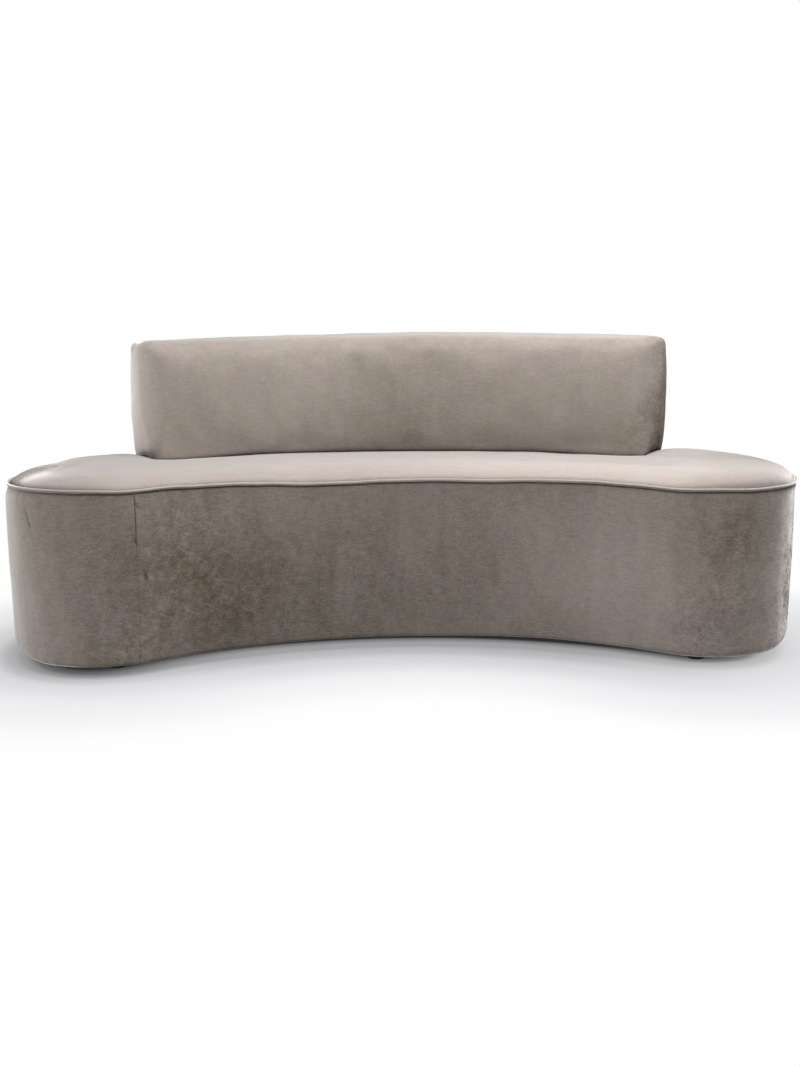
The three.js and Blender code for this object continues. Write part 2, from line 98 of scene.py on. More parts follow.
# Shader maths: a Signal is one socket, and a Graph makes the nodes of one material
class Signal:
    def __init__(self, graph, socket):
        self.graph = graph
        self.socket = socket

    def maths(self, operation, first, second):
        return self.graph.node("ShaderNodeMath", {"operation": operation}, {0: first, 1: second})

    def __add__(self, other):
        return self.maths("ADD", self, other)

    def __radd__(self, other):
        return self.maths("ADD", other, self)

    def __sub__(self, other):
        return self.maths("SUBTRACT", self, other)

    def __rsub__(self, other):
        return self.maths("SUBTRACT", other, self)

    def __mul__(self, other):
        return self.maths("MULTIPLY", self, other)


class Graph:
    def __init__(self, name):
        self.material = bpy.data.materials.new(name)
        self.material.use_nodes = True
        self.tree = self.material.node_tree
        self.surface = self.tree.nodes["Principled BSDF"]
        self.place = self.node("ShaderNodeTexCoord", out="Object")

    def node(self, kind, settings=None, sockets=None, out=0):
        made = self.tree.nodes.new(kind)
        for name, value in (settings or {}).items():
            setattr(made, name, value)
        for key, value in (sockets or {}).items():
            self.feed(made.inputs[key], value)
        return Signal(self, made.outputs[out])

    def feed(self, socket, value):
        if isinstance(value, Signal):
            self.tree.links.new(value.socket, socket)
        else:
            socket.default_value = value

    def finish(self, **values):
        for name, value in values.items():
            self.feed(self.surface.inputs[name.replace("_", " ")], value)
        return self.material

    def blendSurface(self, share, other):
        shaders = {0: share, 1: Signal(self, self.surface.outputs[0]), 2: other}
        blend = self.node("ShaderNodeMixShader", None, shaders)
        self.tree.links.new(blend.socket, self.tree.nodes["Material Output"].inputs["Surface"])
        return self.material

    def noise(self, scale, detail=2.0, roughness=0.5, distortion=0.0, vector=None):
        sockets = {"Vector": vector or self.place, "Scale": scale, "Detail": detail}
        sockets.update({"Roughness": roughness, "Distortion": distortion})
        return self.node("ShaderNodeTexNoise", None, sockets)

    def stretched(self, scale):
        return self.node("ShaderNodeMapping", None, {"Vector": self.place, "Scale": scale})

    def slanted(self, turn, scale):
        turned = self.node("ShaderNodeMapping", None, {"Vector": self.place, "Rotation": (0.0, turn, 0.0)})
        return self.node("ShaderNodeMapping", None, {"Vector": turned, "Scale": scale})

    def mix(self, share, first, second):
        settings = {"data_type": "RGBA", "clamp_factor": True}
        return self.node("ShaderNodeMix", settings, {0: share, 6: first, 7: second}, out=2)

    def spread(self, value, low, high, toLow=0.0, toHigh=1.0):
        sockets = {"Value": value, "From Min": low, "From Max": high, "To Min": toLow, "To Max": toHigh}
        return self.node("ShaderNodeMapRange", {"interpolation_type": "SMOOTHSTEP"}, sockets)

    def zone(self, centre, radius):
        # 1 at a place on the piece, falling smoothly to 0 at a radius from it
        sockets = {0: self.place, 1: centre}
        away = self.node("ShaderNodeVectorMath", {"operation": "DISTANCE"}, sockets, out="Value")
        return self.spread(away, 0.0, radius, 1.0, 0.0)

    def bump(self, height, distance, strength=1.0):
        sockets = {"Height": height, "Distance": distance, "Strength": strength}
        return self.node("ShaderNodeBump", None, sockets, out="Normal")


def paint(red, green, blue):
    # An sRGB colour of 0 to 255 as the linear one that sockets take
    def linear(value):
        value /= 255
        return value / 12.92 if value <= 0.04045 else ((value + 0.055) / 1.055) ** 2.4
    return (linear(red), linear(green), linear(blue), 1.0)


velvet = {
    "flattened": paint(80, 73, 62),  # nap stroked away from the light
    "raised": paint(142, 134, 129),  # nap stroked up
    "cool": paint(127, 117, 124),
    "warm": paint(123, 121, 101),
    "toneShare": 0.4,  # how much the cool and warm patches tint the nap
    # the colour of painted shade, mixed in where seams, grooves and folds are shaded
    "paintedShade": paint(34, 29, 26),
    "sheen": 1.0,
    "sheenRoughness": 0.35,
    "sheenTint": (1.0, 0.973, 0.962, 1.0),
    "specular": 0.15,
    "mostWorn": 1.0,  # how much of its sheen crushed velvet can lose
    # Weights of the noises in the whole nap, in its rubbed places, and in the weave
    "napWeights": {"drift": 0.4, "strokes": 0.35, "mottle": 0.3},
    "rubbedWeights": {"mottle": 0.9, "scratches": 0.9, "patches": 0.8},
    "hairWeight": 0.3,
    "weaveWeights": {"grain": 1.1, "threads": 0.5},
    "relief": (0.0007, 0.4),  # distance and strength of the bump
}


def makeVelvet(name, napMeanAndPaintedLight, texture, zones):
    # The mean of the nap runs from 0, flattened, to 1, raised; it is partly the nap and partly painted
    # light, set higher on the seat and piping, which face the light from above, than on the base. A zone is
    # (centre, radius, rise, wear): its rise paints the colour lighter or darker, partly crushed nap and
    # partly painted light and shade; where the nap is worn it shines less and lies in short slanted strokes.
    graph = Graph(name)
    noises = {
        "drift": graph.noise(3.0, 2.0, 0.5, 0.6),
        "strokes": graph.noise(1.0, 3.0, 0.6, 1.2, graph.stretched((16.0, 16.0, 4.0))),
        "scratches": graph.noise(1.0, 3.0, 0.7, 0.8, graph.slanted(1.0, (30.0, 30.0, 110.0))),
        "mottle": graph.noise(55.0, 4.0, 0.7, 0.5),
        "patches": graph.noise(15.0, 2.0, 0.5, 0.8),
        "threads": graph.noise(1.0, 2.0, 0.6, 0.0, graph.stretched((40.0, 40.0, 400.0))),
        "grain": graph.noise(1.0, 3.0, 0.8, 0.0, graph.stretched((260.0, 260.0, 460.0))),
    }

    def weighed(weights):
        return sum((noises[key] - 0.5) * weight for key, weight in weights.items())

    hairs = graph.noise(1.0, 1.0, 0.5, 1.4, graph.slanted(-0.6, (18.0, 18.0, 190.0)))
    rubbed = 0.0
    shift = 0.0
    for centre, radius, rise, wear in zones:
        reach = graph.zone(centre, radius)
        shift = reach * rise + shift
        rubbed = reach * wear + rubbed
    napAndPaintedLight = weighed(velvet["napWeights"]) * texture + napMeanAndPaintedLight + shift
    marks = weighed(velvet["rubbedWeights"]) + graph.spread(hairs, 0.56, 0.7) * velvet["hairWeight"]
    napAndPaintedLight = napAndPaintedLight + marks * rubbed * texture
    napAndPaintedLight = napAndPaintedLight + weighed(velvet["weaveWeights"]) * texture
    shade = graph.mix(napAndPaintedLight, velvet["flattened"], velvet["raised"])
    toneSpots = graph.spread(graph.noise(13.0, 4.0, 0.7, 0.8), 0.36, 0.64)
    tone = graph.mix(toneSpots, velvet["cool"], velvet["warm"])
    colour = graph.node("ShaderNodeMix", {"data_type": "RGBA", "blend_type": "SOFT_LIGHT"},
                        {0: velvet["toneShare"], 6: shade, 7: tone}, out=2)
    # Painted shade: an attribute darkens the colour and takes sheen away where parts meet and in folds
    paintedShade = graph.node("ShaderNodeAttribute", {"attribute_name": "paintedShade"}, out="Fac")
    colour = graph.mix(paintedShade, colour, velvet["paintedShade"])
    relief = graph.bump(noises["grain"] + noises["threads"] * 0.5 + noises["mottle"], *velvet["relief"])
    graph.finish(Base_Color=colour, Roughness=graph.spread(napAndPaintedLight, 0.2, 0.9, 0.97, 0.86),
                 Sheen_Weight=velvet["sheen"], Sheen_Roughness=velvet["sheenRoughness"],
                 Sheen_Tint=velvet["sheenTint"], Specular_IOR_Level=velvet["specular"], Normal=relief)
    crushed = graph.node("ShaderNodeBsdfPrincipled", None,
                         {"Base Color": colour, "Roughness": 0.9, "Specular IOR Level": 0.0,
                          "Normal": relief})
    worn = graph.spread(rubbed - (napAndPaintedLight - napMeanAndPaintedLight) * 0.8 + paintedShade, 0.1, 0.9, 0.0, velvet["mostWorn"])
    return graph.blendSurface(worn, crushed)


def makeWood(name, pale, dark, ringScale):
    graph = Graph(name)
    grain = graph.noise(1.0, 4.0, 0.6, 1.5, graph.stretched((ringScale, ringScale, ringScale * 0.12)))
    fibre = graph.noise(240.0, 3.0, 0.7)
    colour = graph.mix(grain * 0.8 + fibre * 0.2, pale, dark)
    return graph.finish(Base_Color=colour, Roughness=graph.spread(fibre, 0.0, 1.0, 0.6, 0.85),
                        Normal=graph.bump(grain + fibre * 0.3, 0.0005, 0.4))


def makeWebbing(name):
    graph = Graph(name)
    weave = graph.node("ShaderNodeTexWave", {"wave_type": "BANDS", "bands_direction": "DIAGONAL"},
                       {"Vector": graph.place, "Scale": 130.0, "Distortion": 0.8}, out="Fac")
    colour = graph.mix(weave, paint(38, 36, 34), paint(82, 78, 72))
    return graph.finish(Base_Color=colour, Roughness=graph.spread(weave, 0.0, 1.0, 0.95, 0.75),
                        Normal=graph.bump(weave, 0.0004))


def makeDustCloth(name):
    graph = Graph(name)
    fibres = graph.noise(1.0, 5.0, 0.75, 2.0, graph.stretched((160.0, 60.0, 160.0)))
    dots = graph.node("ShaderNodeTexVoronoi", {"feature": "F1"}, {"Vector": graph.place, "Scale": 380.0},
                      out="Distance")
    pressed = graph.spread(dots, 0.15, 0.45)
    colour = graph.mix(fibres * 0.6 + pressed * 0.4, paint(18, 18, 20), paint(52, 52, 56))
    return graph.finish(Base_Color=colour, Roughness=graph.spread(fibres, 0.3, 0.7, 0.75, 0.98),
                        Normal=graph.bump(pressed + fibres, 0.0003, 0.7))


def makePlastic(name):
    graph = Graph(name)
    grain = graph.noise(900.0, 2.0, 0.6)
    scuffs = graph.noise(1.0, 5.0, 0.7, 0.5, graph.stretched((70.0, 70.0, 25.0)))
    colour = graph.mix(graph.spread(scuffs, 0.55, 0.8), paint(24, 24, 26), paint(54, 53, 53))
    return graph.finish(Base_Color=colour, Roughness=graph.spread(scuffs, 0.3, 0.8, 0.42, 0.72),
                        Normal=graph.bump(grain, 0.0001, 0.5))


def makeSteel(name):
    graph = Graph(name)
    brushed = graph.noise(1.0, 4.0, 0.6, 0.0, graph.stretched((500.0, 500.0, 60.0)))
    colour = graph.mix(brushed, paint(150, 152, 156), paint(202, 203, 205))
    roughness = graph.spread(brushed, 0.2, 0.8, 0.28, 0.45)
    return graph.finish(Base_Color=colour, Metallic=1.0, Roughness=roughness)


woods = {
    "plywood": makeWood("plywood", paint(214, 186, 142), paint(178, 144, 100), 9.0),
    "timber": makeWood("timber", paint(224, 196, 152), paint(196, 156, 108), 16.0),
}
steel = makeSteel("zincSteel")
webbing = makeWebbing("elasticWebbing")
plastic = makePlastic("footPlastic")
dustCloth = makeDustCloth("dustCloth")
print("materials made")


# Plan of the base. The bay, the back and the rear are arcs about one point in front of the sofa.
plan = {
    "bayRadius": 0.975,
    "noseRadius": 0.217,
    "noseAngle": math.radians(38.6),
    "shoulderRadius": 0.441,
    "rearRadius": 1.633,
    "blend": 0.028,  # length over which one arc runs into the next
    "samples": 4096,
}
bayCentre = np.array([0.0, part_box("base_cover")[1].y - plan["rearRadius"]])
weltLow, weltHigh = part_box("seat_welt")
weltLevel = (weltLow.z + weltHigh.z) / 2


def polar(radius, angle):
    # Angles are measured from straight back, towards +X
    return np.stack([radius * np.sin(angle), radius * np.cos(angle)], -1)


def traceOutline():
    noseReach = plan["bayRadius"] + plan["noseRadius"]
    shoulderReach = plan["rearRadius"] - plan["shoulderRadius"]
    between = plan["shoulderRadius"] - plan["noseRadius"]
    spread = (shoulderReach ** 2 + noseReach ** 2 - between ** 2) / (2 * shoulderReach * noseReach)
    shoulderAngle = plan["noseAngle"] - math.acos(spread)
    nose = polar(noseReach, plan["noseAngle"])
    shoulder = polar(shoulderReach, shoulderAngle)
    endTurn = math.atan2(*(nose - shoulder))
    arcs = (
        (np.zeros(2), plan["bayRadius"], 0.0, plan["noseAngle"]),
        (nose, plan["noseRadius"], plan["noseAngle"] + math.pi, endTurn),
        (shoulder, plan["shoulderRadius"], endTurn, shoulderAngle),
        (np.zeros(2), plan["rearRadius"], shoulderAngle, 0.0),
    )
    steps = plan["samples"] // 8
    right = np.concatenate([centre + polar(radius, np.linspace(start, end, steps, endpoint=False))
                            for centre, radius, start, end in arcs])
    rear = polar(plan["rearRadius"], np.zeros(1))
    left = right[:0:-1] * (-1, 1)
    return np.concatenate([right, rear, left]) + bayCentre


def evenSpacing(points, count):
    closed = np.concatenate([points, points[:1]])
    lengths = np.concatenate([[0.0], np.cumsum(np.linalg.norm(np.diff(closed, axis=0), axis=1))])
    places = np.linspace(0, lengths[-1], count, endpoint=False)
    return np.stack([np.interp(places, lengths, closed[:, axis]) for axis in (0, 1)], -1), lengths[-1]


def blendArcs(points, length):
    # Smooths the changes of curvature, and leaves the arcs themselves where they are
    waves = np.fft.fft(points[:, 0] + 1j * points[:, 1])
    turns = (2 * np.pi * np.fft.fftfreq(len(points), length / len(points)) * plan["blend"]) ** 2
    smooth = np.fft.ifft(waves * np.exp(-turns / 2) * (1 + turns / 2))
    return np.stack([smooth.real, smooth.imag], -1)


edgePoints, edgeLength = evenSpacing(traceOutline(), plan["samples"])
edgePoints = blendArcs(edgePoints, edgeLength)
edgePlaces = np.arange(plan["samples"]) * edgeLength / plan["samples"]
edgeTangents = np.roll(edgePoints, -1, 0) - np.roll(edgePoints, 1, 0)
edgeTangents /= np.linalg.norm(edgeTangents, axis=1)[:, None]


def edgeAt(along, outwards=0.0):
    # Points of the outline at distances along it from the bay's middle, to the right, moved outwards
    def around(values):
        columns = [np.interp(along, edgePlaces, column, period=edgeLength) for column in values.T]
        return np.stack(columns, -1)

    tangent = around(edgeTangents)
    normal = np.stack([tangent[..., 1], -tangent[..., 0]], -1)
    return around(edgePoints) + normal * np.asarray(outwards)[..., None]


def insetOf(points, batch=2000):
    # Distance from each point inwards to the outline, for a batch of points at a time
    nearest = np.empty(len(points))
    for start in range(0, len(points), batch):
        part = points[start:start + batch]
        apart = part[:, None, :] - edgePoints[None, ::2, :]
        nearest[start:start + batch] = np.sqrt((apart ** 2).sum(2).min(1))
    return nearest


def smoothStep(value, low, high):
    share = np.clip((value - low) / (high - low), 0, 1)
    return share * share * (3 - 2 * share)


def eased(value, stops):
    # Runs smoothly through given (place, value) stops
    places, values = np.array(stops).T
    value = np.clip(value, places[0], places[-1])
    index = np.clip(np.searchsorted(places, value) - 1, 0, len(places) - 2)
    share = smoothStep(value, places[index], places[index + 1])
    return values[index] + (values[index + 1] - values[index]) * share


def softWaves(places, length, seed, count=16):
    # A sum of waves of about one length in random directions, mostly between -1 and 1
    random = np.random.default_rng(seed)
    directions = random.normal(size=(count, places.shape[1]))
    directions /= np.linalg.norm(directions, axis=1)[:, None]
    lengths = length * random.uniform(0.7, 1.6, count)
    phases = random.uniform(0, 2 * np.pi, count)
    return np.sin(2 * np.pi * places @ (directions / lengths[:, None]).T + phases).sum(1) / math.sqrt(count)


def rippled(places, waves):
    # Sum of soft waves, each (height, length, seed)
    return sum(height * softWaves(places, length, seed) for height, length, seed in waves)


def makePiece(name, points, faces, material):
    mesh = bpy.data.meshes.new(name)
    mesh.from_pydata([tuple(map(float, point)) for point in points], [], faces)
    mesh.materials.append(material)
    mesh.polygons.foreach_set("use_smooth", [True] * len(mesh.polygons))
    mesh.update()
    piece = bpy.data.objects.new(name, mesh)
    scene.collection.objects.link(piece)
    return piece


def readPoints(mesh):
    flat = np.empty(len(mesh.vertices) * 3, np.float32)
    mesh.vertices.foreach_get("co", flat)
    return flat.reshape(-1, 3).astype(float)


def writePoints(mesh, points):
    mesh.vertices.foreach_set("co", np.asarray(points, np.float32).ravel())
    mesh.update()


def settle(piece):
    # The piece's mesh as its modifiers leave it, made plain
    graph = bpy.context.evaluated_depsgraph_get()
    graph.update()
    mesh = bpy.data.meshes.new_from_object(piece.evaluated_get(graph))
    piece.modifiers.clear()
    piece.data = mesh
    return piece


def subdivide(piece, levels):
    modifier = piece.modifiers.new("Subdivision", "SUBSURF")
    modifier.levels = levels
    modifier.render_levels = levels
    return settle(piece)


def calmed(move, mesh, rounds, share=0.6):
    # Moves each point by a share of its neighbours' mean, so that no sharp wrinkle stays in taut cloth
    ends = np.empty(len(mesh.edges) * 2, np.int32)
    mesh.edges.foreach_get("vertices", ends)
    first, second = ends[::2], ends[1::2]
    number = np.bincount(ends, minlength=len(move))[:, None]
    for step in range(rounds):
        total = np.zeros_like(move)
        np.add.at(total, first, move[second])
        np.add.at(total, second, move[first])
        move = (1 - share) * move + share * total / number
    return move


def pullOver(piece, held, fabric):
    # Cloth stretched over its filling: a little loose, pressed outwards, held at its seams
    mesh = piece.data
    before = readPoints(mesh)
    group = piece.vertex_groups.new(name="seams")
    for share in np.unique(held[held > 0]):
        group.add([int(i) for i in np.flatnonzero(held == share)], float(share), "REPLACE")
    modifier = piece.modifiers.new("Cloth", "CLOTH")
    cloth = modifier.settings
    cloth.quality = 6
    cloth.mass = 0.25
    cloth.tension_stiffness = fabric["stretch"]
    cloth.compression_stiffness = fabric["stretch"]
    cloth.shear_stiffness = fabric["shear"]
    cloth.bending_stiffness = fabric["bend"]
    cloth.use_pressure = True
    cloth.uniform_pressure_force = fabric["pressure"]
    cloth.vertex_group_mass = "seams"
    cloth.shrink_min = -fabric["looseness"]
    cloth.effector_weights.gravity = 0
    modifier.collision_settings.use_collision = False
    for step in range(1, fabric["steps"] + 1):
        scene.frame_set(step)
    graph = bpy.context.evaluated_depsgraph_get()
    after = readPoints(piece.evaluated_get(graph).to_mesh())
    piece.modifiers.remove(modifier)
    piece.vertex_groups.clear()
    move = calmed(after - before, mesh, fabric["calm"]) * (1 - held)[:, None]
    size = np.linalg.norm(move, axis=1)[:, None] + 1e-9
    writePoints(mesh, before + move / size * fabric["most"] * np.tanh(size / fabric["most"]))
    scene.frame_set(1)
    print(f"  {piece.name} moved {size.mean() * 1000:.1f} mm on average, {size.max() * 1000:.1f} mm at most",
          f"({(size > fabric['most']).mean():.0%} past the cap)")


def markPaintedShade(piece, shares):
    # How much painted shade each point gets in the velvet's colour, from 0 to 1, where it lies in a seam, a
    # groove, a fold or another shaded place
    attribute = piece.data.attributes.new("paintedShade", "FLOAT", "POINT")
    attribute.data.foreach_set("value", np.asarray(shares, np.float32))


def addTo(piece, slot, *nodes):
    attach(piece, "root")
    if nodes:
        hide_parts(*nodes)
    return piece


# Height of the piping: it rises and dips a little round the front, as hand-sewn piping does
weltRises = (  # (distance along the edge from the bay's middle to the right, rise)
    (-1.55, 0.0), (-1.2, 0.003), (-0.97, 0.0075), (-0.89, 0.0074), (-0.80, 0.0062), (-0.72, 0.0034),
    (-0.60, 0.0059), (-0.53, 0.0036), (-0.44, 0.0029), (-0.36, -0.0006), (-0.24, -0.0063), (-0.15, -0.0061),
    (-0.05, -0.0030),
    (0.07, -0.0015), (0.20, -0.0029), (0.33, 0.0010), (0.47, 0.0020), (0.56, -0.0006), (0.69, -0.0045),
    (0.79, -0.0023), (0.86, -0.0033), (0.95, -0.0018), (1.15, -0.0010), (1.55, 0.0),
)


def weltRise(along):
    signed = (np.asarray(along) + edgeLength / 2) % edgeLength - edgeLength / 2
    return eased(signed, weltRises)


# Seat: a crowned panel, sewn to the piping at its edge and pressed down round the foot of the back
seat = {
    "edgeInset": 0.0038,
    "lip": 0.0025,  # how deep the panel turns down to the piping
    "lipRun": 0.004,
    "crownRun": 0.16,
    # Fullness of the crown at the left and right ends, where a higher one rises faster from the edge
    "fullness": (4.2, 7.0),
    "fullnessRun": (0.5, 0.9),  # along X
    "endRises": (0.0085, 0.0095),  # extra height of the left and right ends
    "endRun": (0.60, 0.80),  # distances from the middle over which it comes
    "tipRun": (0.84, 0.98),  # and over which a share of it goes again
    "tipLoss": 0.6,
    "presses": (0.004, 0.015, 0.011),  # how deep the back presses in: its middle, its corners, its ends
    "pressRun": (0.38, 0.64),
    "pressReach": 0.030,
    "besideRun": 0.04,
    "rings": (0.0, 0.0012, 0.003, 0.006, 0.0105, 0.0165, 0.024, 0.033, 0.043),
    "ringSpacing": 0.0075,
    "fieldSpacing": 0.0095,
    "fieldGap": 0.7,  # between the innermost ring and the field, in spacings
    "pocketClearance": 0.0004,
    "pocketMargin": 0.06,  # of a pocket's size, kept free of the field's points
    "footMargin": 0.004,
    "bottomInset": 0.0149,
    "riseRun": 0.12,  # how far in the piping's rise carries the panel with it
    "waves": ((0.0006, 0.16, 3),),
    "wavesRun": (0.012, 0.05),
    "puckers": ((0.0004, 0.028, 4),),
    "puckerRun": (0.01, 0.04),
    "edgeShade": 0.4,
    "shadeRun": (0.007, 0.019),
    "fabric": {"stretch": 60.0, "shear": 30.0, "bend": 8.0, "pressure": 0.6, "looseness": 0.0, "steps": 16,
               "calm": 30, "most": 0.004},
}
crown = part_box("seat_cover")[1].z - weltLevel
backFoot = {
    "front": plan["bayRadius"] + 0.45,
    "rear": plan["bayRadius"] + 0.65,
    "halfAngle": math.radians(27.8),
}


def footGap(flat):
    # Distance outwards from the back's footprint, 0 inside it
    arm = flat - bayCentre
    radius = np.linalg.norm(arm, axis=-1)
    sideways = radius * (np.abs(np.arctan2(arm[..., 0], arm[..., 1])) - backFoot["halfAngle"])
    inOrOut = np.maximum(backFoot["front"] - radius, radius - backFoot["rear"])
    return np.hypot(np.maximum(sideways, 0), np.maximum(inOrOut, 0))


def seatLevel(inset, flat):
    # Height of the seat panel at a distance in from the outline
    inward = np.maximum(np.asarray(inset) - seat["edgeInset"], 0)
    sideways = np.abs(flat[..., 0])
    toRight = smoothStep(flat[..., 0], *seat["fullnessRun"])
    fullness = seat["fullness"][0] + (seat["fullness"][1] - seat["fullness"][0]) * toRight
    share = 1 - (1 - np.minimum(inward / seat["crownRun"], 1)) ** fullness
    side = np.where(flat[..., 0] < 0, *seat["endRises"])
    ends = side * smoothStep(sideways, *seat["endRun"]) * share
    ends *= 1 - seat["tipLoss"] * smoothStep(sideways, *seat["tipRun"])
    shallow, deep, beside = seat["presses"]
    press = shallow + (deep - shallow) * smoothStep(sideways, *seat["pressRun"])
    radius = np.linalg.norm(flat - bayCentre, axis=-1)
    front = backFoot["front"]
    press = press + (beside - press) * smoothStep(radius, front, front + seat["besideRun"])
    press = press * np.exp(-footGap(flat) / seat["pressReach"]) * share
    return weltLevel + crown * share + ends - press - seat["lip"] * np.exp(-inward / seat["lipRun"])


def blockPockets(clearance):
    # Corners of the slots through which the back's spacer blocks stand on the deck
    pockets = []
    for number in range(1, 5):
        points = readPoints(frame["nodes"][f"back_block_{number}"].data)[:, :2]
        middle = points.mean(0)
        outward = (middle - bayCentre) / np.linalg.norm(middle - bayCentre)
        sideways = np.array([outward[1], -outward[0]])
        reach = np.abs((points - middle) @ outward).max() + clearance
        half = np.abs((points - middle) @ sideways).max() + clearance
        turns = ((-1, -1), (-1, 1), (1, 1), (1, -1))
        pockets.append(np.array([middle + outward * a * reach + sideways * b * half for a, b in turns]))
    return pockets


def insideCorners(points, corners):
    inside = np.ones(len(points), bool)
    for start, end in zip(corners, np.roll(corners, -1, 0)):
        step = end - start
        inside &= step[0] * (points[:, 1] - start[1]) - step[1] * (points[:, 0] - start[0]) > 0
    return inside


def makeSeat(material):
    ringCount = round(edgeLength / seat["ringSpacing"])
    along = np.arange(ringCount) * edgeLength / ringCount
    insets = seat["edgeInset"] + np.array(seat["rings"])
    rings = [edgeAt(along, -inset) for inset in insets]
    field = trianglePoints(insets[-1] + seat["fieldSpacing"] * seat["fieldGap"], seat["fieldSpacing"])
    pockets = blockPockets(seat["pocketClearance"])
    for corners in pockets:
        margin = (corners - corners.mean(0)) * seat["pocketMargin"]
        field = field[~insideCorners(field, corners + margin)]
    flat = np.concatenate([*rings, field, *pockets])
    loops = [list(range(ringCount))]
    first = len(flat) - 4 * len(pockets)
    loops += [[first + 4 * i + j for j in range(4)] for i in range(len(pockets))]
    edges = [(a, b) for loop in loops for a, b in zip(loop, loop[1:] + loop[:1])]
    result = geometry.delaunay_2d_cdt([Vector(p) for p in flat], edges, [], 1, 1e-7)
    assert len(result[0]) == len(flat)
    faces = [list(face) for face in result[2]]
    centres = flat[np.array(faces)].mean(1)
    keep = np.ones(len(faces), bool)
    for corners in pockets:
        keep &= ~insideCorners(centres, corners)
    faces = [face for face, kept in zip(faces, keep) if kept]

    inset = insetOf(flat)
    inset[:ringCount * len(insets)] = np.repeat(insets, ringCount)
    farIn = nearestRise(flat[ringCount * len(insets):])
    rise = np.concatenate([np.tile(weltRise(along), len(insets)), farIn])
    rise *= 1 - smoothStep(inset, 0.0, seat["riseRun"])
    top = np.column_stack([flat, seatLevel(inset, flat) + rise])
    piece = makePiece("seat_cushion", top, faces, material)

    foot = standsUnderBack(flat, seat["footMargin"])
    held = np.where((inset < insets[1] + 1e-4) | foot, 1.0, 0.0)
    pullOver(piece, held, seat["fabric"])
    top = readPoints(piece.data)
    quiet = smoothStep(inset, *seat["wavesRun"]) * ~foot
    top[:, 2] += quiet * rippled(top[:, :2], seat["waves"])
    top[:, 2] += (1 - smoothStep(inset, *seat["puckerRun"])) * rippled(top[:, :2], seat["puckers"])

    # The underside has the same plan, drawn in below the piping, and walls close the edge and the pockets
    low = top.copy()
    drawn = np.interp(insets, (insets[0], insets[-1]), (seat["bottomInset"], insets[-1]))
    drawn = np.repeat(drawn, ringCount)
    low[:len(drawn), :2] = edgeAt(np.tile(along, len(insets)), -drawn)
    low[:, 2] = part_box("seat_foam")[0].z
    count = len(flat)
    under = [[i + count for i in reversed(face)] for face in faces]
    walls = []
    for loop in loops:
        for a, b in zip(loop, loop[1:] + loop[:1]):
            walls.append([a, a + count, b + count, b])
    bpy.data.objects.remove(piece)
    piece = makePiece("seat_cushion", np.concatenate([top, low]), faces + under + walls, material)
    faceOutwards(piece)
    # Painted shade on the panel's edge, where it turns down to the piping
    markPaintedShade(piece, np.tile(seat["edgeShade"] * (1 - smoothStep(inset, *seat["shadeRun"])), 2))
    return addTo(piece, "velvet", "seat_cover", "seat_foam")


def trianglePoints(inset, spacing):
    # An even field of points inside the outline
    low, high = edgePoints.min(0), edgePoints.max(0)
    rows = np.arange(low[1], high[1], spacing * math.sqrt(3) / 2)
    columns = np.arange(low[0], high[0], spacing)
    points = np.array([(x + (row % 2) * spacing / 2, y) for row, y in enumerate(rows) for x in columns])
    return points[insidePlan(points) & (insetOf(points) > inset)]


def insidePlan(points):
    inside = np.zeros(len(points), bool)
    coarse = edgePoints[::8]
    for (x0, y0), (x1, y1) in zip(coarse, np.roll(coarse, -1, 0)):
        crosses = (y0 > points[:, 1]) != (y1 > points[:, 1])
        if y0 != y1:
            inside ^= crosses & (points[:, 0] < (x1 - x0) * (points[:, 1] - y0) / (y1 - y0) + x0)
    return inside


def nearestRise(points):
    coarse = edgePoints[::16]
    rises = weltRise(edgePlaces[::16])
    nearest = [np.argmin(((coarse - point) ** 2).sum(1)) for point in points]
    return rises[nearest]


def standsUnderBack(flat, margin):
    arm = flat - bayCentre
    radius = np.linalg.norm(arm, axis=1)
    angle = np.abs(np.arctan2(arm[:, 0], arm[:, 1]))
    within = (radius > backFoot["front"] + margin) & (radius < backFoot["rear"] - margin)
    return within & (angle < backFoot["halfAngle"] - margin / radius)


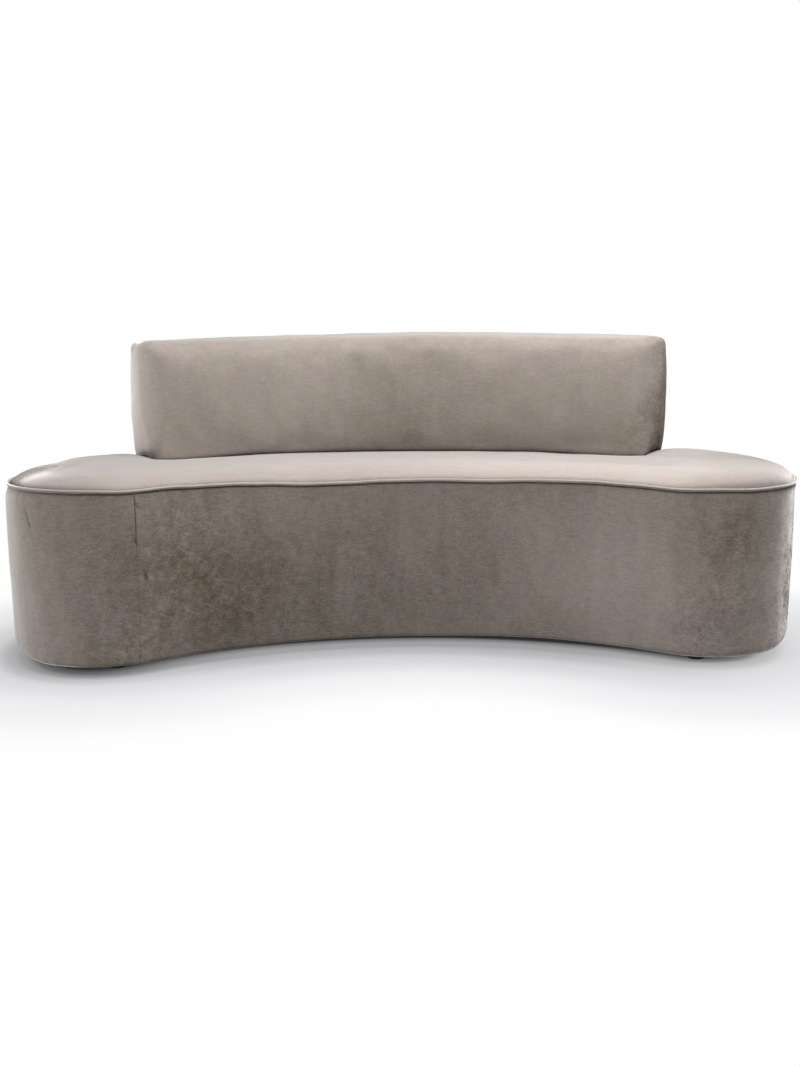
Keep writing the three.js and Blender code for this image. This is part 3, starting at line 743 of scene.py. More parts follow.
# Back: a padded body that leans back, rounded more in front than at its ends
back = {
    "rake": 0.066,  # lean of the front face from foot to top
    "droop": 0.018,  # fall of the top towards the ends
    "topLifts": (  # (share along the half length, lift)
        (-1.0, 0.0015), (-0.75, 0.001), (-0.2, 0.004), (0.1, 0.0085), (0.7, 0.0085), (0.9, 0.0110),
        (1.0, 0.0085),
    ),
    "sink": 0.004,  # the stuffed shape starts this much smaller, and the cloth swells back
    "footCorner": 0.024,  # radii in plan: the front one at the foot, the front one above, the rear one
    "frontCorner": 0.050,
    "rearCorner": 0.026,
    "cornerRun": 0.45,  # share of the height over which the front one grows
    "topRounds": {"front": 0.046, "end": 0.014, "rear": 0.026},
    "footTucks": {"front": 0.004, "end": 0.003, "rear": 0.004},  # how far the foot is drawn in
    "footRises": {"front": 0.016, "end": 0.045, "rear": 0.016},  # and over what height
    "footEase": 0.04,
    "ends": {-1: (0.010, 0.014), 1: (0.0205, 0.0155)},  # each end's shift outwards, and its swell
    "endShape": (0.6, 0.8),  # powers of the swell's arch, upwards and across
    "swell": 0.005,  # of the front face
    "faceShape": (0.8, 6),  # powers of its arch, upwards and lengthwise
    "rearSwell": 0.5,  # share of it at the rear
    "step": 0.0125,
    "footLift": 0.0004,
    "blockLift": 0.0002,
    "heldHeight": 0.004,  # the cloth stays put below it
    "ripples": ((0.0006, 0.14, 7), (0.0002, 0.05, 8)),
    "rippleRise": (0.015, 0.06),  # above the seat
    "gathers": ((0.0004, 0.03, 9),),
    "gatherRise": (0.01, 0.05),
    "shadeRise": (0.0005, 0.006),
    "endShadeLoss": 0.6,
    "endShadeRun": (0.64, 0.72),  # along X, either way
    "fabric": {"stretch": 80.0, "shear": 40.0, "bend": 8.0, "pressure": 1.0, "looseness": 0.001, "steps": 20,
               "calm": 4, "most": 0.010},
}
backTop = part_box("back_cover")[1].z
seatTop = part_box("seat_cover")[1].z
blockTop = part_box("back_block_1")[1].z


def shellOfLattice(counts):
    # The outside of a three-way lattice: shares from 0 to 1 along each way, and quads that face outwards
    numbers, shares, faces = {}, [], []
    for axis in range(3):
        b, c = (axis + 1) % 3, (axis + 2) % 3
        for side in (0, counts[axis]):
            for p in range(counts[b]):
                for q in range(counts[c]):
                    face = []
                    for stepB, stepC in ((0, 0), (1, 0), (1, 1), (0, 1)):
                        key = [side] * 3
                        key[b], key[c] = p + stepB, q + stepC
                        key = tuple(key)
                        if key not in numbers:
                            numbers[key] = len(shares)
                            shares.append([i / n for i, n in zip(key, counts)])
                        face.append(numbers[key])
                    faces.append(face if side else face[::-1])
    return np.array(shares).T, faces


def roundOff(u, v):
    # Maps the corner square of two shares onto a quarter disc
    u, v = np.clip(u, 0, 1), np.clip(v, 0, 1)
    return u * np.sqrt(1 - v * v / 2), v * np.sqrt(1 - u * u / 2)


def backBody(shares, halfLength):
    # Places of the shell's points as (along, outwards from the bay's centre, level)
    along, deep, high = shares * np.array([[2.0], [1.0], [1.0]]) - np.array([[1.0], [0.0], [0.0]])
    side = np.sign(along)
    ends = np.where(along < 0, back["ends"][-1][0], back["ends"][1][0])
    swells = np.where(along < 0, back["ends"][-1][1], back["ends"][1][1])
    sink = back["sink"]
    front = backFoot["front"] + sink + back["rake"] * high
    thick = backFoot["rear"] - sink - front
    half = halfLength - sink + ends
    s, q = np.abs(along) * half, deep * thick

    # Plan corners
    upper = smoothStep(high, 0.0, back["cornerRun"])
    corner = np.where(deep < 0.5, back["footCorner"] + (back["frontCorner"] - back["footCorner"]) * upper,
                      back["rearCorner"])
    depth = np.minimum(q, thick - q)
    u, v = roundOff((s - half + corner) / corner, (corner - depth) / corner)
    s = np.where(s > half - corner, half - corner + corner * u, s)
    depth = np.where(depth < corner, corner * (1 - v), depth)
    q = np.where(deep < 0.5, depth, thick - depth)

    # Distance in from that plan, and the way outwards
    overS, overQ = np.maximum(s - half + corner, 0), np.maximum(corner - depth, 0)
    toCorner = np.hypot(overS, overQ) + 1e-9
    inCorner = (overS > 0) & (overQ > 0)
    inEnd = half - s < depth
    inward = np.where(inCorner, corner - toCorner, np.minimum(half - s, depth))
    outS = np.where(inCorner, overS / toCorner, np.where(inEnd, 1.0, 0.0))
    outQ = np.where(inCorner, overQ / toCorner, np.where(inEnd, 0.0, 1.0)) * np.where(deep < 0.5, -1, 1)

    def facing(radii):
        return radii["end"] * outS ** 2 + np.where(outQ < 0, radii["front"], radii["rear"]) * outQ ** 2

    total = backTop + eased(along, back["topLifts"]) - sink - back["droop"] * along ** 2 - seatTop
    level = total * high
    rounds = facing(back["topRounds"])
    u, v = roundOff(1 - inward / rounds, (level - total + rounds) / rounds)
    moved = np.where((level > total - rounds) & (inward < rounds), inward - rounds * (1 - u), 0)
    level = np.where(level > total - rounds, total - rounds * (1 - v), level)
    tucks, rises = facing(back["footTucks"]), facing(back["footRises"])
    moved -= tucks * np.clip(1 - level / rises, 0, 1) ** 2 * np.clip(1 - inward / back["footEase"], 0, 1)

    tall = np.sin(np.pi * np.clip(level / total, 0, 1))
    wide = np.sin(np.pi * np.clip(q / thick, 0, 1))
    upwards, across = back["endShape"]
    bulge = swells * tall ** upwards * wide ** across * outS ** 2
    upwards, lengthwise = back["faceShape"]
    faceSwell = back["swell"] * np.where(outQ < 0, 1.0, back["rearSwell"])
    bulge += faceSwell * tall ** upwards * (1 - along ** lengthwise) * outQ ** 2
    s, q = s + outS * (moved + bulge), q + outQ * (moved + bulge)
    return side * s, front + q, level


def makeBack(material):
    middle = (backFoot["front"] + backFoot["rear"]) / 2
    halfLength = backFoot["halfAngle"] * middle
    size = (2 * halfLength, backFoot["rear"] - backFoot["front"], backTop - seatTop)
    shares, faces = shellOfLattice([round(length / back["step"]) for length in size])
    along, radius, level = backBody(shares, halfLength)
    flat = polar(radius, along / middle) + bayCentre
    inset = plan["rearRadius"] - radius
    foot = seatLevel(inset, flat) + back["footLift"]
    under = (shares[2] == 0) & (insideOf(shares[0]) & insideOf(shares[1]))
    stretch = 1 - (foot - seatTop) / (backTop - seatTop)
    height = np.where(under, blockTop + back["blockLift"], foot + level * stretch)
    piece = makePiece("back_cushion", np.column_stack([flat, height]), faces, material)
    pullOver(piece, np.where(level < back["heldHeight"], 1.0, 0.0), back["fabric"])
    piece = subdivide(piece, 1)
    points = readPoints(piece.data)
    normals = np.array([vertex.normal[:] for vertex in piece.data.vertices])
    above = points[:, 2] - seatTop
    ripple = smoothStep(above, *back["rippleRise"]) * rippled(points, back["ripples"])
    gathers = (1 - smoothStep(above, *back["gatherRise"])) * rippled(points, back["gathers"])
    writePoints(piece.data, points + normals * (ripple + gathers)[:, None])
    inset = plan["rearRadius"] - np.linalg.norm(points[:, :2] - bayCentre, axis=1)
    # Painted shade where the back stands on the seat, less of it towards the ends
    shade = 1 - smoothStep(points[:, 2] - seatLevel(inset, points[:, :2]), *back["shadeRise"])
    toEnds = smoothStep(np.abs(points[:, 0]), *back["endShadeRun"])
    markPaintedShade(piece, shade * (1 - back["endShadeLoss"] * toEnds))
    return addTo(piece, "velvet", "back_cover", "back_foam", "back_rear_padding")


def insideOf(share):
    return (share > 0) & (share < 1)


# Base: a padded band of velvet, turned under and stapled beneath
base = {
    # Along X: the lower edge's radius, and how far it hangs below the hem
    "lowerRounds": (
        (-0.97, 0.030), (-0.86, 0.012), (-0.5, 0.008), (0.5, 0.008), (0.72, 0.018), (0.95, 0.030),
    ),
    "hangs": (
        (-0.9, 0.0050), (0.0, 0.0030), (0.35, -0.0015), (0.5, -0.0005), (0.7, 0.0040), (0.9, 0.0055),
    ),
    "rearRound": 0.018,  # the same two at the rear
    "rearHang": 0.005,
    "rearRun": (0.05, 0.3),  # along Y
    "turnUnder": 0.07,  # how far the velvet runs in beneath the deck
    "hangRun": 0.008,  # length beneath over which it comes back up
    "hem": 0.002,
    "padding": 0.0143,
    "innerTurn": 0.03,  # where the inside starts to rise
    "innerRows": 5,
    "swell": 0.0022,
    "columnSpacing": 0.0057,
    "sideRows": 64,
    "roundRows": 9,
    "underRows": 7,
    "seamReach": 0.007,
    "seamSpacing": 0.0009,
    "seamDepth": 0.0016,
    "seamWidth": 0.0013,
    "seamRidge": (0.0007, 0.005, 0.004),  # height, distance from the seam, width
    "seamPuckers": ((0.0004, 0.018, 15),),
    "puckerWidth": 0.012,
    "seamShade": 0.7,
    "seamShadeWidth": 0.0014,
    "ripples": ((0.0008, 0.22, 11), (0.0004, 0.07, 12)),
    "topPuckers": ((0.0005, 0.024, 13),),
    "topPuckerReach": 0.022,
    "lowPuckers": ((0.0011, 0.045, 14),),
    "lowPuckerReach": 0.02,
    "creaseShade": 0.7,
    "creaseDepth": 0.0024,  # the depth that has all of it
    "grooveShade": 0.5,
    "grooveReach": 0.004,
    "hemShade": 0.08,  # painted shade along the lower edge
    "tuck": (  # (offset, level) from the cover's top, under the piping
        (-0.0095, 0.0008), (-0.0062, 0.0004), (-0.0038, -0.0006), (-0.0020, -0.0022), (-0.0008, -0.0044),
        (-0.0002, -0.0075),
    ),
    "ends": {-1: (0.006, 0.0), 1: (-0.005, -0.006)},  # shift outwards of each end, at its top and its foot
    "endRun": (0.80, 0.97),
}
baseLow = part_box("base_cover")[0].z
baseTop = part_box("base_cover")[1].z
seamX = (-0.640, 0.18)  # the front seam, and one hidden at the rear
creases = (  # from (x, level), to (x, level), width, height outwards
    ((-0.896, 0.388), (-0.883, 0.344), 0.0024, -0.0026),
    ((-0.886, 0.400), (-0.858, 0.306), 0.0060, 0.0008),
    ((-0.637, 0.408), (-0.629, 0.390), 0.0030, -0.0022),
    ((-0.646, 0.333), (-0.636, 0.309), 0.0030, -0.0018),
    ((-0.6245, 0.254), (-0.6175, 0.219), 0.0030, -0.0028),
    ((-0.284, 0.400), (-0.262, 0.350), 0.0034, 0.0014),
    ((-0.258, 0.330), (-0.224, 0.296), 0.0034, 0.0014),
)


def seamPlaces():
    front = edgePlaces[np.argmin(np.hypot(edgePoints[:, 0] - seamX[0], edgePoints[:, 1] + 0.43))]
    rear = edgePlaces[np.argmin(np.hypot(edgePoints[:, 0] - seamX[1], edgePoints[:, 1] - 0.45))]
    return front, rear


def baseColumns():
    even = np.arange(round(edgeLength / base["columnSpacing"])) * base["columnSpacing"]
    fine = np.arange(-base["seamReach"], base["seamReach"] + 1e-9, base["seamSpacing"])
    for place in seamPlaces():
        even = even[np.abs(even - place) > base["seamReach"] + base["columnSpacing"] / 2]
        even = np.concatenate([even, place + fine])
    return np.sort(even[even < edgeLength - base["columnSpacing"] / 2])


def baseRows():
    # Kinds and shares of a section's points: tuck, side, lower round, underside, and back up the inside
    rows = [("tuck", i) for i in range(len(base["tuck"]))]
    rows += [("side", i / base["sideRows"]) for i in range(1, base["sideRows"])]
    rows += [("round", i / (base["roundRows"] - 1)) for i in range(base["roundRows"])]
    rows += [("under", i / base["underRows"]) for i in range(1, base["underRows"] + 1)]
    rows += [("inner", i) for i in range(3 + base["innerRows"])]
    return rows


def baseSection(kind, share, radius, hang):
    # (offset outwards, level) of one row, for every column's lower radius and hang
    low = baseLow - hang
    last = base["tuck"][-1]
    if kind == "tuck":
        offset, level = base["tuck"][share]
        return offset + 0 * radius, baseTop + level + 0 * radius
    if kind == "side":
        level = baseTop + last[1] + share * (low + radius - baseTop - last[1])
        return 0 * radius, level
    if kind == "round":
        angle = share * math.pi / 2
        return -radius * (1 - math.cos(angle)), low + radius * (1 - math.sin(angle))
    if kind == "under":
        offset = radius + share * (base["turnUnder"] - radius)
        return -offset, low + hang * smoothStep(offset - radius, 0.0, base["hangRun"])
    hem = baseLow + base["hem"]
    levels = np.linspace(baseLow + 0.05, baseTop - 0.001, base["innerRows"])
    inner = [(-base["turnUnder"], hem), (-base["innerTurn"], hem), (-base["padding"], hem + 0.002)]
    inner += [(-base["padding"], level) for level in levels]
    return inner[share][0] + 0 * radius, inner[share][1] + 0 * radius


def creaseRelief(x, level):
    relief = np.zeros(len(x))
    for start, end, width, height in creases:
        start, end = np.array(start), np.array(end)
        run = end - start
        spot = np.column_stack([x, level]) - start
        share = np.clip(spot @ run / (run @ run), 0, 1)
        away = np.linalg.norm(spot - share[:, None] * run, axis=1)
        fade = np.sin(np.pi * np.clip(share, 0.04, 0.96)) ** 0.5
        relief += height * np.exp(-(away / width) ** 2 * 2) * fade
    return relief


def makeBase(material):
    columns, rows = baseColumns(), baseRows()
    plain = edgeAt(columns)
    toRear = smoothStep(plain[:, 1], *base["rearRun"])
    radius, hang = eased(plain[:, 0], base["lowerRounds"]), eased(plain[:, 0], base["hangs"])
    radius += (base["rearRound"] - radius) * toRear
    hang += (base["rearHang"] - hang) * toRear
    sections = [baseSection(kind, share, radius, hang) for kind, share in rows]
    offset = np.array([section[0] for section in sections]).T.ravel()
    level = np.array([section[1] for section in sections]).T.ravel()
    outer = np.tile(np.array([kind != "inner" for kind, share in rows]), len(columns))
    along = np.repeat(columns, len(rows))
    share = np.clip((level - baseLow) / (baseTop - baseLow), 0, 1)
    flat = edgeAt(along, offset)
    swell = base["swell"] * np.sin(np.pi * share) ** 0.8
    places = np.column_stack([flat, level * 0.6])
    depth = baseTop - level
    ripple = rippled(places, base["ripples"])
    puckers = np.exp(-depth / base["topPuckerReach"]) * rippled(along[:, None], base["topPuckers"])
    lowPuckers = np.exp((baseLow - level) / base["lowPuckerReach"])
    lowPuckers *= rippled(along[:, None], base["lowPuckers"])
    quiet = smoothStep(depth, 0.004, 0.03)
    relief = swell + ripple * quiet + puckers * smoothStep(depth, 0.004, 0.012) + lowPuckers
    folds = np.where(flat[:, 1] < 0, creaseRelief(flat[:, 0], level), 0)
    relief += folds
    # The seams are drawn tight near the top, and slacken below
    tight = smoothStep(depth, 0.001, 0.008) * (0.25 + 0.75 * smoothStep(share, 0.62, 0.86))
    for place in seamPlaces():
        away = np.abs(along - place)
        relief -= base["seamDepth"] * np.exp(-(away / base["seamWidth"]) ** 2) * tight
        height, gap, width = base["seamRidge"]
        relief += height * np.exp(-((away - gap) / width) ** 2) * tight
        near = np.exp(-(away / base["puckerWidth"]) ** 2)
        relief += near * rippled(level[:, None], base["seamPuckers"]) * quiet
    tops, feet = [np.where(flat[:, 0] < 0, base["ends"][-1][i], base["ends"][1][i]) for i in (0, 1)]
    slope = feet + (tops - feet) * share
    relief += slope * smoothStep(np.abs(flat[:, 0]), *base["endRun"]) * smoothStep(depth, 0.002, 0.03)
    sideways = smoothStep(level, baseLow - 0.005, baseLow + 0.012)
    flat = edgeAt(along, offset + np.where(outer, relief * (0.35 + 0.65 * sideways), 0))
    level = level + weltRise(along) * smoothStep(level, 0.2, baseTop - 0.01)
    count = len(rows)
    faces = []
    for i in range(len(columns)):
        for j in range(count):
            a, b = i * count, (i + 1) % len(columns) * count
            faces.append([a + j, a + (j + 1) % count, b + (j + 1) % count, b + j])
    piece = makePiece("base_band", np.column_stack([flat, level]), faces, material)
    # Painted shade in the velvet's colour: in the groove under the piping, in the creases, along the lower
    # edge and along the seams
    shade = base["grooveShade"] * np.exp(-np.maximum(depth, 0) / base["grooveReach"])
    shade += base["creaseShade"] * np.clip(-folds / base["creaseDepth"], 0, 1)
    shade += base["hemShade"] * (1 - smoothStep(level, baseLow - 0.003, baseLow + 0.005))
    for place in seamPlaces():
        shade += base["seamShade"] * np.exp(-((along - place) / base["seamShadeWidth"]) ** 2) * tight
    markPaintedShade(piece, np.clip(np.where(outer, shade, 0), 0, 1))
    return addTo(piece, "velvet", "base_cover", "base_side_padding")


# Geometry Nodes trees: the piping along the seat's edge, the staples and the screws underneath
class Tree:
    def __init__(self, name, inputs):
        self.group = bpy.data.node_groups.new(name, "GeometryNodeTree")
        self.group.interface.new_socket("Geometry", in_out="INPUT", socket_type="NodeSocketGeometry")
        self.ids = {}
        for label, kind in inputs.items():
            made = self.group.interface.new_socket(label, in_out="INPUT", socket_type=kind)
            self.ids[label] = made.identifier
        self.group.interface.new_socket("Geometry", in_out="OUTPUT", socket_type="NodeSocketGeometry")
        self.entry = self.group.nodes.new("NodeGroupInput")
        self.exit = self.group.nodes.new("NodeGroupOutput")

    def node(self, kind, settings=None, sockets=None, out=0):
        made = self.group.nodes.new(kind)
        for name, value in (settings or {}).items():
            setattr(made, name, value)
        for key, value in (sockets or {}).items():
            if isinstance(value, bpy.types.NodeSocket):
                self.group.links.new(value, made.inputs[key])
            else:
                made.inputs[key].default_value = value
        return made.outputs[out]

    def end(self, shape, materialSocket):
        plain = self.node("GeometryNodeRealizeInstances", None, {"Geometry": shape})
        smooth = self.node("GeometryNodeSetShadeSmooth", None, {"Geometry": plain})
        sockets = {"Geometry": smooth, "Material": materialSocket}
        coloured = self.node("GeometryNodeSetMaterial", None, sockets)
        self.group.links.new(coloured, self.exit.inputs["Geometry"])

    def run(self, piece, values):
        modifier = piece.modifiers.new(self.group.name, "NODES")
        modifier.node_group = self.group
        for label, value in values.items():
            modifier[self.ids[label]] = value
        settle(piece)
        if not piece.data.materials:
            piece.data.materials.append(values["Material"])
        return piece


def makePath(name, points):
    count = len(points)
    mesh = bpy.data.meshes.new(name)
    edges = [(i, (i + 1) % count) for i in range(count)]
    mesh.from_pydata([tuple(map(float, p)) for p in points], edges, [])
    piece = bpy.data.objects.new(name, mesh)
    scene.collection.objects.link(piece)
    return piece


welt = {
    "radius": 0.0037,
    "inset": 0.0005,
    "lower": 0.0004,  # than the middle of the frame's piping
    "sides": 16,
    "spacing": 0.007,
    "unevenness": 0.36,  # swing of the radius, as a share of it
    "lowShade": 0.42,  # painted shade on its lower half, towards the ends
    "lowRun": (-0.1, 0.4),  # in radii above its middle
    "lowAlong": (0.3, 0.6),  # along X, either way
}


def makeWeltTree():
    tree = Tree("pipingAlongEdge", {"Radius": "NodeSocketFloat", "Sides": "NodeSocketInt",
                                    "Unevenness": "NodeSocketFloat", "Material": "NodeSocketMaterial"})
    given = tree.entry.outputs
    curve = tree.node("GeometryNodeMeshToCurve", None, {"Mesh": given["Geometry"]})
    profile = tree.node("GeometryNodeCurvePrimitiveCircle", None,
                        {"Resolution": given["Sides"], "Radius": given["Radius"]})
    tube = tree.node("GeometryNodeCurveToMesh", None, {"Curve": curve, "Profile Curve": profile})
    wobble = tree.node("ShaderNodeTexNoise", None, {"Scale": 38.0, "Detail": 2.0})
    centred = tree.node("ShaderNodeMath", {"operation": "SUBTRACT"}, {0: wobble, 1: 0.5})
    share = tree.node("ShaderNodeMath", {"operation": "MULTIPLY"}, {0: centred, 1: given["Unevenness"]})
    size = tree.node("ShaderNodeMath", {"operation": "MULTIPLY"}, {0: share, 1: given["Radius"]})
    normal = tree.node("GeometryNodeInputNormal")
    push = tree.node("ShaderNodeVectorMath", {"operation": "SCALE"}, {0: normal, "Scale": size})
    moved = tree.node("GeometryNodeSetPosition", None, {"Geometry": tube, "Offset": push})
    tree.end(moved, given["Material"])
    return tree


def makeWelt(material):
    count = round(edgeLength / welt["spacing"])
    along = np.arange(count) * edgeLength / count
    points = np.column_stack([edgeAt(along, -welt["inset"]), weltLevel - welt["lower"] + weltRise(along)])
    piece = makePath("piping", points)
    makeWeltTree().run(piece, {"Radius": welt["radius"], "Sides": welt["sides"],
                               "Unevenness": welt["unevenness"], "Material": material})
    faceOutwards(piece)
    places = readPoints(piece.data)
    # Painted shade on the piping's lower half, which faces away from the light above
    height = places[:, 2] - weltLevel + welt["lower"] - nearestRise(places[:, :2])
    low = 1 - smoothStep(height / welt["radius"], *welt["lowRun"])
    markPaintedShade(piece, welt["lowShade"] * low * smoothStep(np.abs(places[:, 0]), *welt["lowAlong"]))
    return addTo(piece, "velvet", "seat_welt")


def faceOutwards(piece):
    mesh = bmesh.new()
    mesh.from_mesh(piece.data)
    bmesh.ops.recalc_face_normals(mesh, faces=mesh.faces)
    mesh.to_mesh(piece.data)
    mesh.free()


# Underside: dust cover, staples, feet and their screws
underside = {
    "clothInset": 0.04,
    "clothSpacing": 0.022,
    "fieldGap": 0.7,  # between the cloth's edge and its inner points, in spacings
    "clothSag": 0.0012,
    "sagRun": 0.12,
    "sagWaves": ((0.4, 0.2, 21),),
    "wrinkles": ((0.0005, 0.05, 22),),
    "stapleInset": 0.047,
    "stapleSpacing": 0.045,
    "stapleLength": 0.012,
    "stapleRadius": 0.0006,
    "stapleTurn": 0.35,  # at most, either way
}


def makeDustCover(material):
    ringCount = round(edgeLength / underside["clothSpacing"])
    along = np.arange(ringCount) * edgeLength / ringCount
    ring = edgeAt(along, -underside["clothInset"])
    inset, spacing = underside["clothInset"], underside["clothSpacing"]
    field = trianglePoints(inset + spacing * underside["fieldGap"], spacing)
    flat = np.concatenate([ring, field])
    edges = [(i, (i + 1) % ringCount) for i in range(ringCount)]
    faces = [list(f) for f in geometry.delaunay_2d_cdt([Vector(p) for p in flat], edges, [], 1, 1e-7)[2]]
    low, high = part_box("dust_cover")
    away = smoothStep(insetOf(flat), inset, underside["sagRun"])
    sag = underside["clothSag"] * away * (0.6 + rippled(flat, underside["sagWaves"]))
    wrinkle = rippled(flat, underside["wrinkles"]) * away
    bottom = np.column_stack([flat, low.z - sag + wrinkle])
    top = bottom + (0, 0, high.z - low.z)
    count = len(flat)
    walls = [[i, (i + 1) % ringCount, (i + 1) % ringCount + count, i + count] for i in range(ringCount)]
    upper = [[i + count for i in face] for face in faces]
    lower = [face[::-1] for face in faces]
    piece = makePiece("dust_cloth", np.concatenate([bottom, top]), upper + lower + walls, material)
    corners = flat[np.array(faces)]
    sideA, sideB = corners[:, 1] - corners[:, 0], corners[:, 2] - corners[:, 0]
    area = abs(sideA[:, 0] * sideB[:, 1] - sideA[:, 1] * sideB[:, 0]).sum() / 2
    return addTo(piece, "dust_cloth", "dust_cover")


def makeStaples(material):
    tree = Tree("staplesAlongEdge", {"Spacing": "NodeSocketFloat", "Length": "NodeSocketFloat",
                                     "Radius": "NodeSocketFloat", "Seed": "NodeSocketInt",
                                     "Material": "NodeSocketMaterial"})
    given = tree.entry.outputs
    curve = tree.node("GeometryNodeMeshToCurve", None, {"Mesh": given["Geometry"]})
    spots = tree.node("GeometryNodeResampleCurve", {"mode": "LENGTH"},
                      {"Curve": curve, "Length": given["Spacing"]})
    half = tree.node("ShaderNodeMath", {"operation": "MULTIPLY"}, {0: given["Length"], 1: 0.5})
    back = tree.node("ShaderNodeMath", {"operation": "MULTIPLY"}, {0: given["Length"], 1: -0.5})
    start = tree.node("ShaderNodeCombineXYZ", None, {0: back})
    end = tree.node("ShaderNodeCombineXYZ", None, {0: half})
    line = tree.node("GeometryNodeCurvePrimitiveLine", None, {"Start": start, "End": end})
    wire = tree.node("GeometryNodeCurvePrimitiveCircle", None, {"Resolution": 6, "Radius": given["Radius"]})
    crownPiece = tree.node("GeometryNodeCurveToMesh", None,
                           {"Curve": line, "Profile Curve": wire, "Fill Caps": True})
    tangent = tree.node("GeometryNodeInputTangent")
    turn = tree.node("FunctionNodeAlignRotationToVector", {"axis": "X"}, {"Vector": tangent})
    most = underside["stapleTurn"]
    askew = tree.node("FunctionNodeRandomValue", {"data_type": "FLOAT_VECTOR"},
                      {0: (0, 0, -most), 1: (0, 0, most), "Seed": given["Seed"]})
    turned = tree.node("FunctionNodeRotateRotation", {"rotation_space": "LOCAL"},
                       {"Rotation": turn, "Rotate By": askew})
    placed = tree.node("GeometryNodeInstanceOnPoints", None,
                       {"Points": spots, "Instance": crownPiece, "Rotation": turned})
    tree.end(placed, given["Material"])
    count = 600
    along = np.arange(count) * edgeLength / count
    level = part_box("dust_cover")[0].z - underside["stapleRadius"] * 0.3
    points = np.column_stack([edgeAt(along, -underside["stapleInset"]), np.full(count, level)])
    piece = makePath("staples", points)
    tree.run(piece, {"Spacing": underside["stapleSpacing"], "Length": underside["stapleLength"],
                     "Radius": underside["stapleRadius"], "Seed": 5, "Material": material})
    return addTo(piece, "steel")


foot = {
    "topRadius": 0.024,
    "baseRadius": 0.021,
    "edge": 0.003,
    "bore": 0.0033,
    "counterbore": 0.009,
    "counterboreDepth": 0.014,
    "lip": 0.0007,
    "topBevel": (0.0012, 0.0016),  # inwards and down
    "turns": 64,
}


def footProfile(height):
    # (radius, level) from the screw hole's top, down the counterbore, and up the outside
    rim = foot["baseRadius"] - foot["edge"]
    corner = [(rim + foot["edge"] * math.sin(a), foot["edge"] * (1 - math.cos(a)))
              for a in np.linspace(0, math.pi / 2, 5)]
    lip = foot["lip"]
    inwards, down = foot["topBevel"]
    return [
        (foot["bore"], height), (foot["bore"], foot["counterboreDepth"]),
        (foot["counterbore"] - lip, foot["counterboreDepth"]),
        (foot["counterbore"], foot["counterboreDepth"] - lip),
        (foot["counterbore"], lip), (foot["counterbore"] + lip, 0.0), *corner,
        (foot["topRadius"] - inwards / 2, height - down), (foot["topRadius"] - inwards, height),
    ]


def turnedPiece(name, profile, centre, turns, material):
    points, faces = [], []
    count = len(profile)
    for step in range(turns):
        angle = 2 * math.pi * step / turns
        points += [(centre.x + r * math.cos(angle), centre.y + r * math.sin(angle), z) for r, z in profile]
        for i in range(count):
            a, b = step * count, (step + 1) % turns * count
            faces.append([a + i, a + (i + 1) % count, b + (i + 1) % count, b + i])
    piece = makePiece(name, points, faces, material)
    faceOutwards(piece)
    piece.data.set_sharp_from_angle(angle=math.radians(38))
    return piece


def makeFeet(material):
    for number in range(1, 7):
        low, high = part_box(f"foot_{number}")
        centre = (low + high) / 2
        piece = turnedPiece(f"glide_{number}", footProfile(high.z), centre, foot["turns"], material)
        addTo(piece, "foot_plastic", f"foot_{number}")


screw = {
    "shank": 0.003,
    "head": 0.0065,
    "headHeight": 0.004,
    "slot": 0.0011,
    "slotDepth": 0.0022,
    "point": 0.003,
    "turns": 32,
}


def screwShape(low, high):
    # A pan head with a cross recess, and a plain shank
    dome = [(screw["head"] * math.sin(a), low + screw["headHeight"] * 0.45 * (1 - math.cos(a)))
            for a in np.linspace(0.0, math.pi / 2, 7)]
    onAxis = 0.00001
    dome[0] = (onAxis, low)
    under = low + screw["headHeight"]
    profile = dome + [(screw["head"], under), (screw["shank"], under),
                      (screw["shank"], high - screw["point"]), (onAxis, high)]
    piece = turnedPiece("screwPattern", profile, Vector((0, 0, 0)), screw["turns"], steel)
    mesh = bmesh.new()
    for across in ((1, 0), (0, 1)):
        size = [screw["head"] * 1.1 if axis else screw["slot"] for axis in across]
        stretch = Matrix.Diagonal((size[0], size[1], screw["slotDepth"] * 2, 1))
        matrix = Matrix.Translation((0, 0, low)) @ stretch
        bmesh.ops.create_cube(mesh, size=1.0, matrix=matrix)
    cutterMesh = bpy.data.meshes.new("crossRecess")
    mesh.to_mesh(cutterMesh)
    mesh.free()
    cutter = bpy.data.objects.new("crossRecess", cutterMesh)
    scene.collection.objects.link(cutter)
    modifier = piece.modifiers.new("Recess", "BOOLEAN")
    modifier.operation = "DIFFERENCE"
    modifier.solver = "EXACT"
    modifier.use_self = True
    modifier.object = cutter
    settle(piece)
    bpy.data.objects.remove(cutter)
    return piece


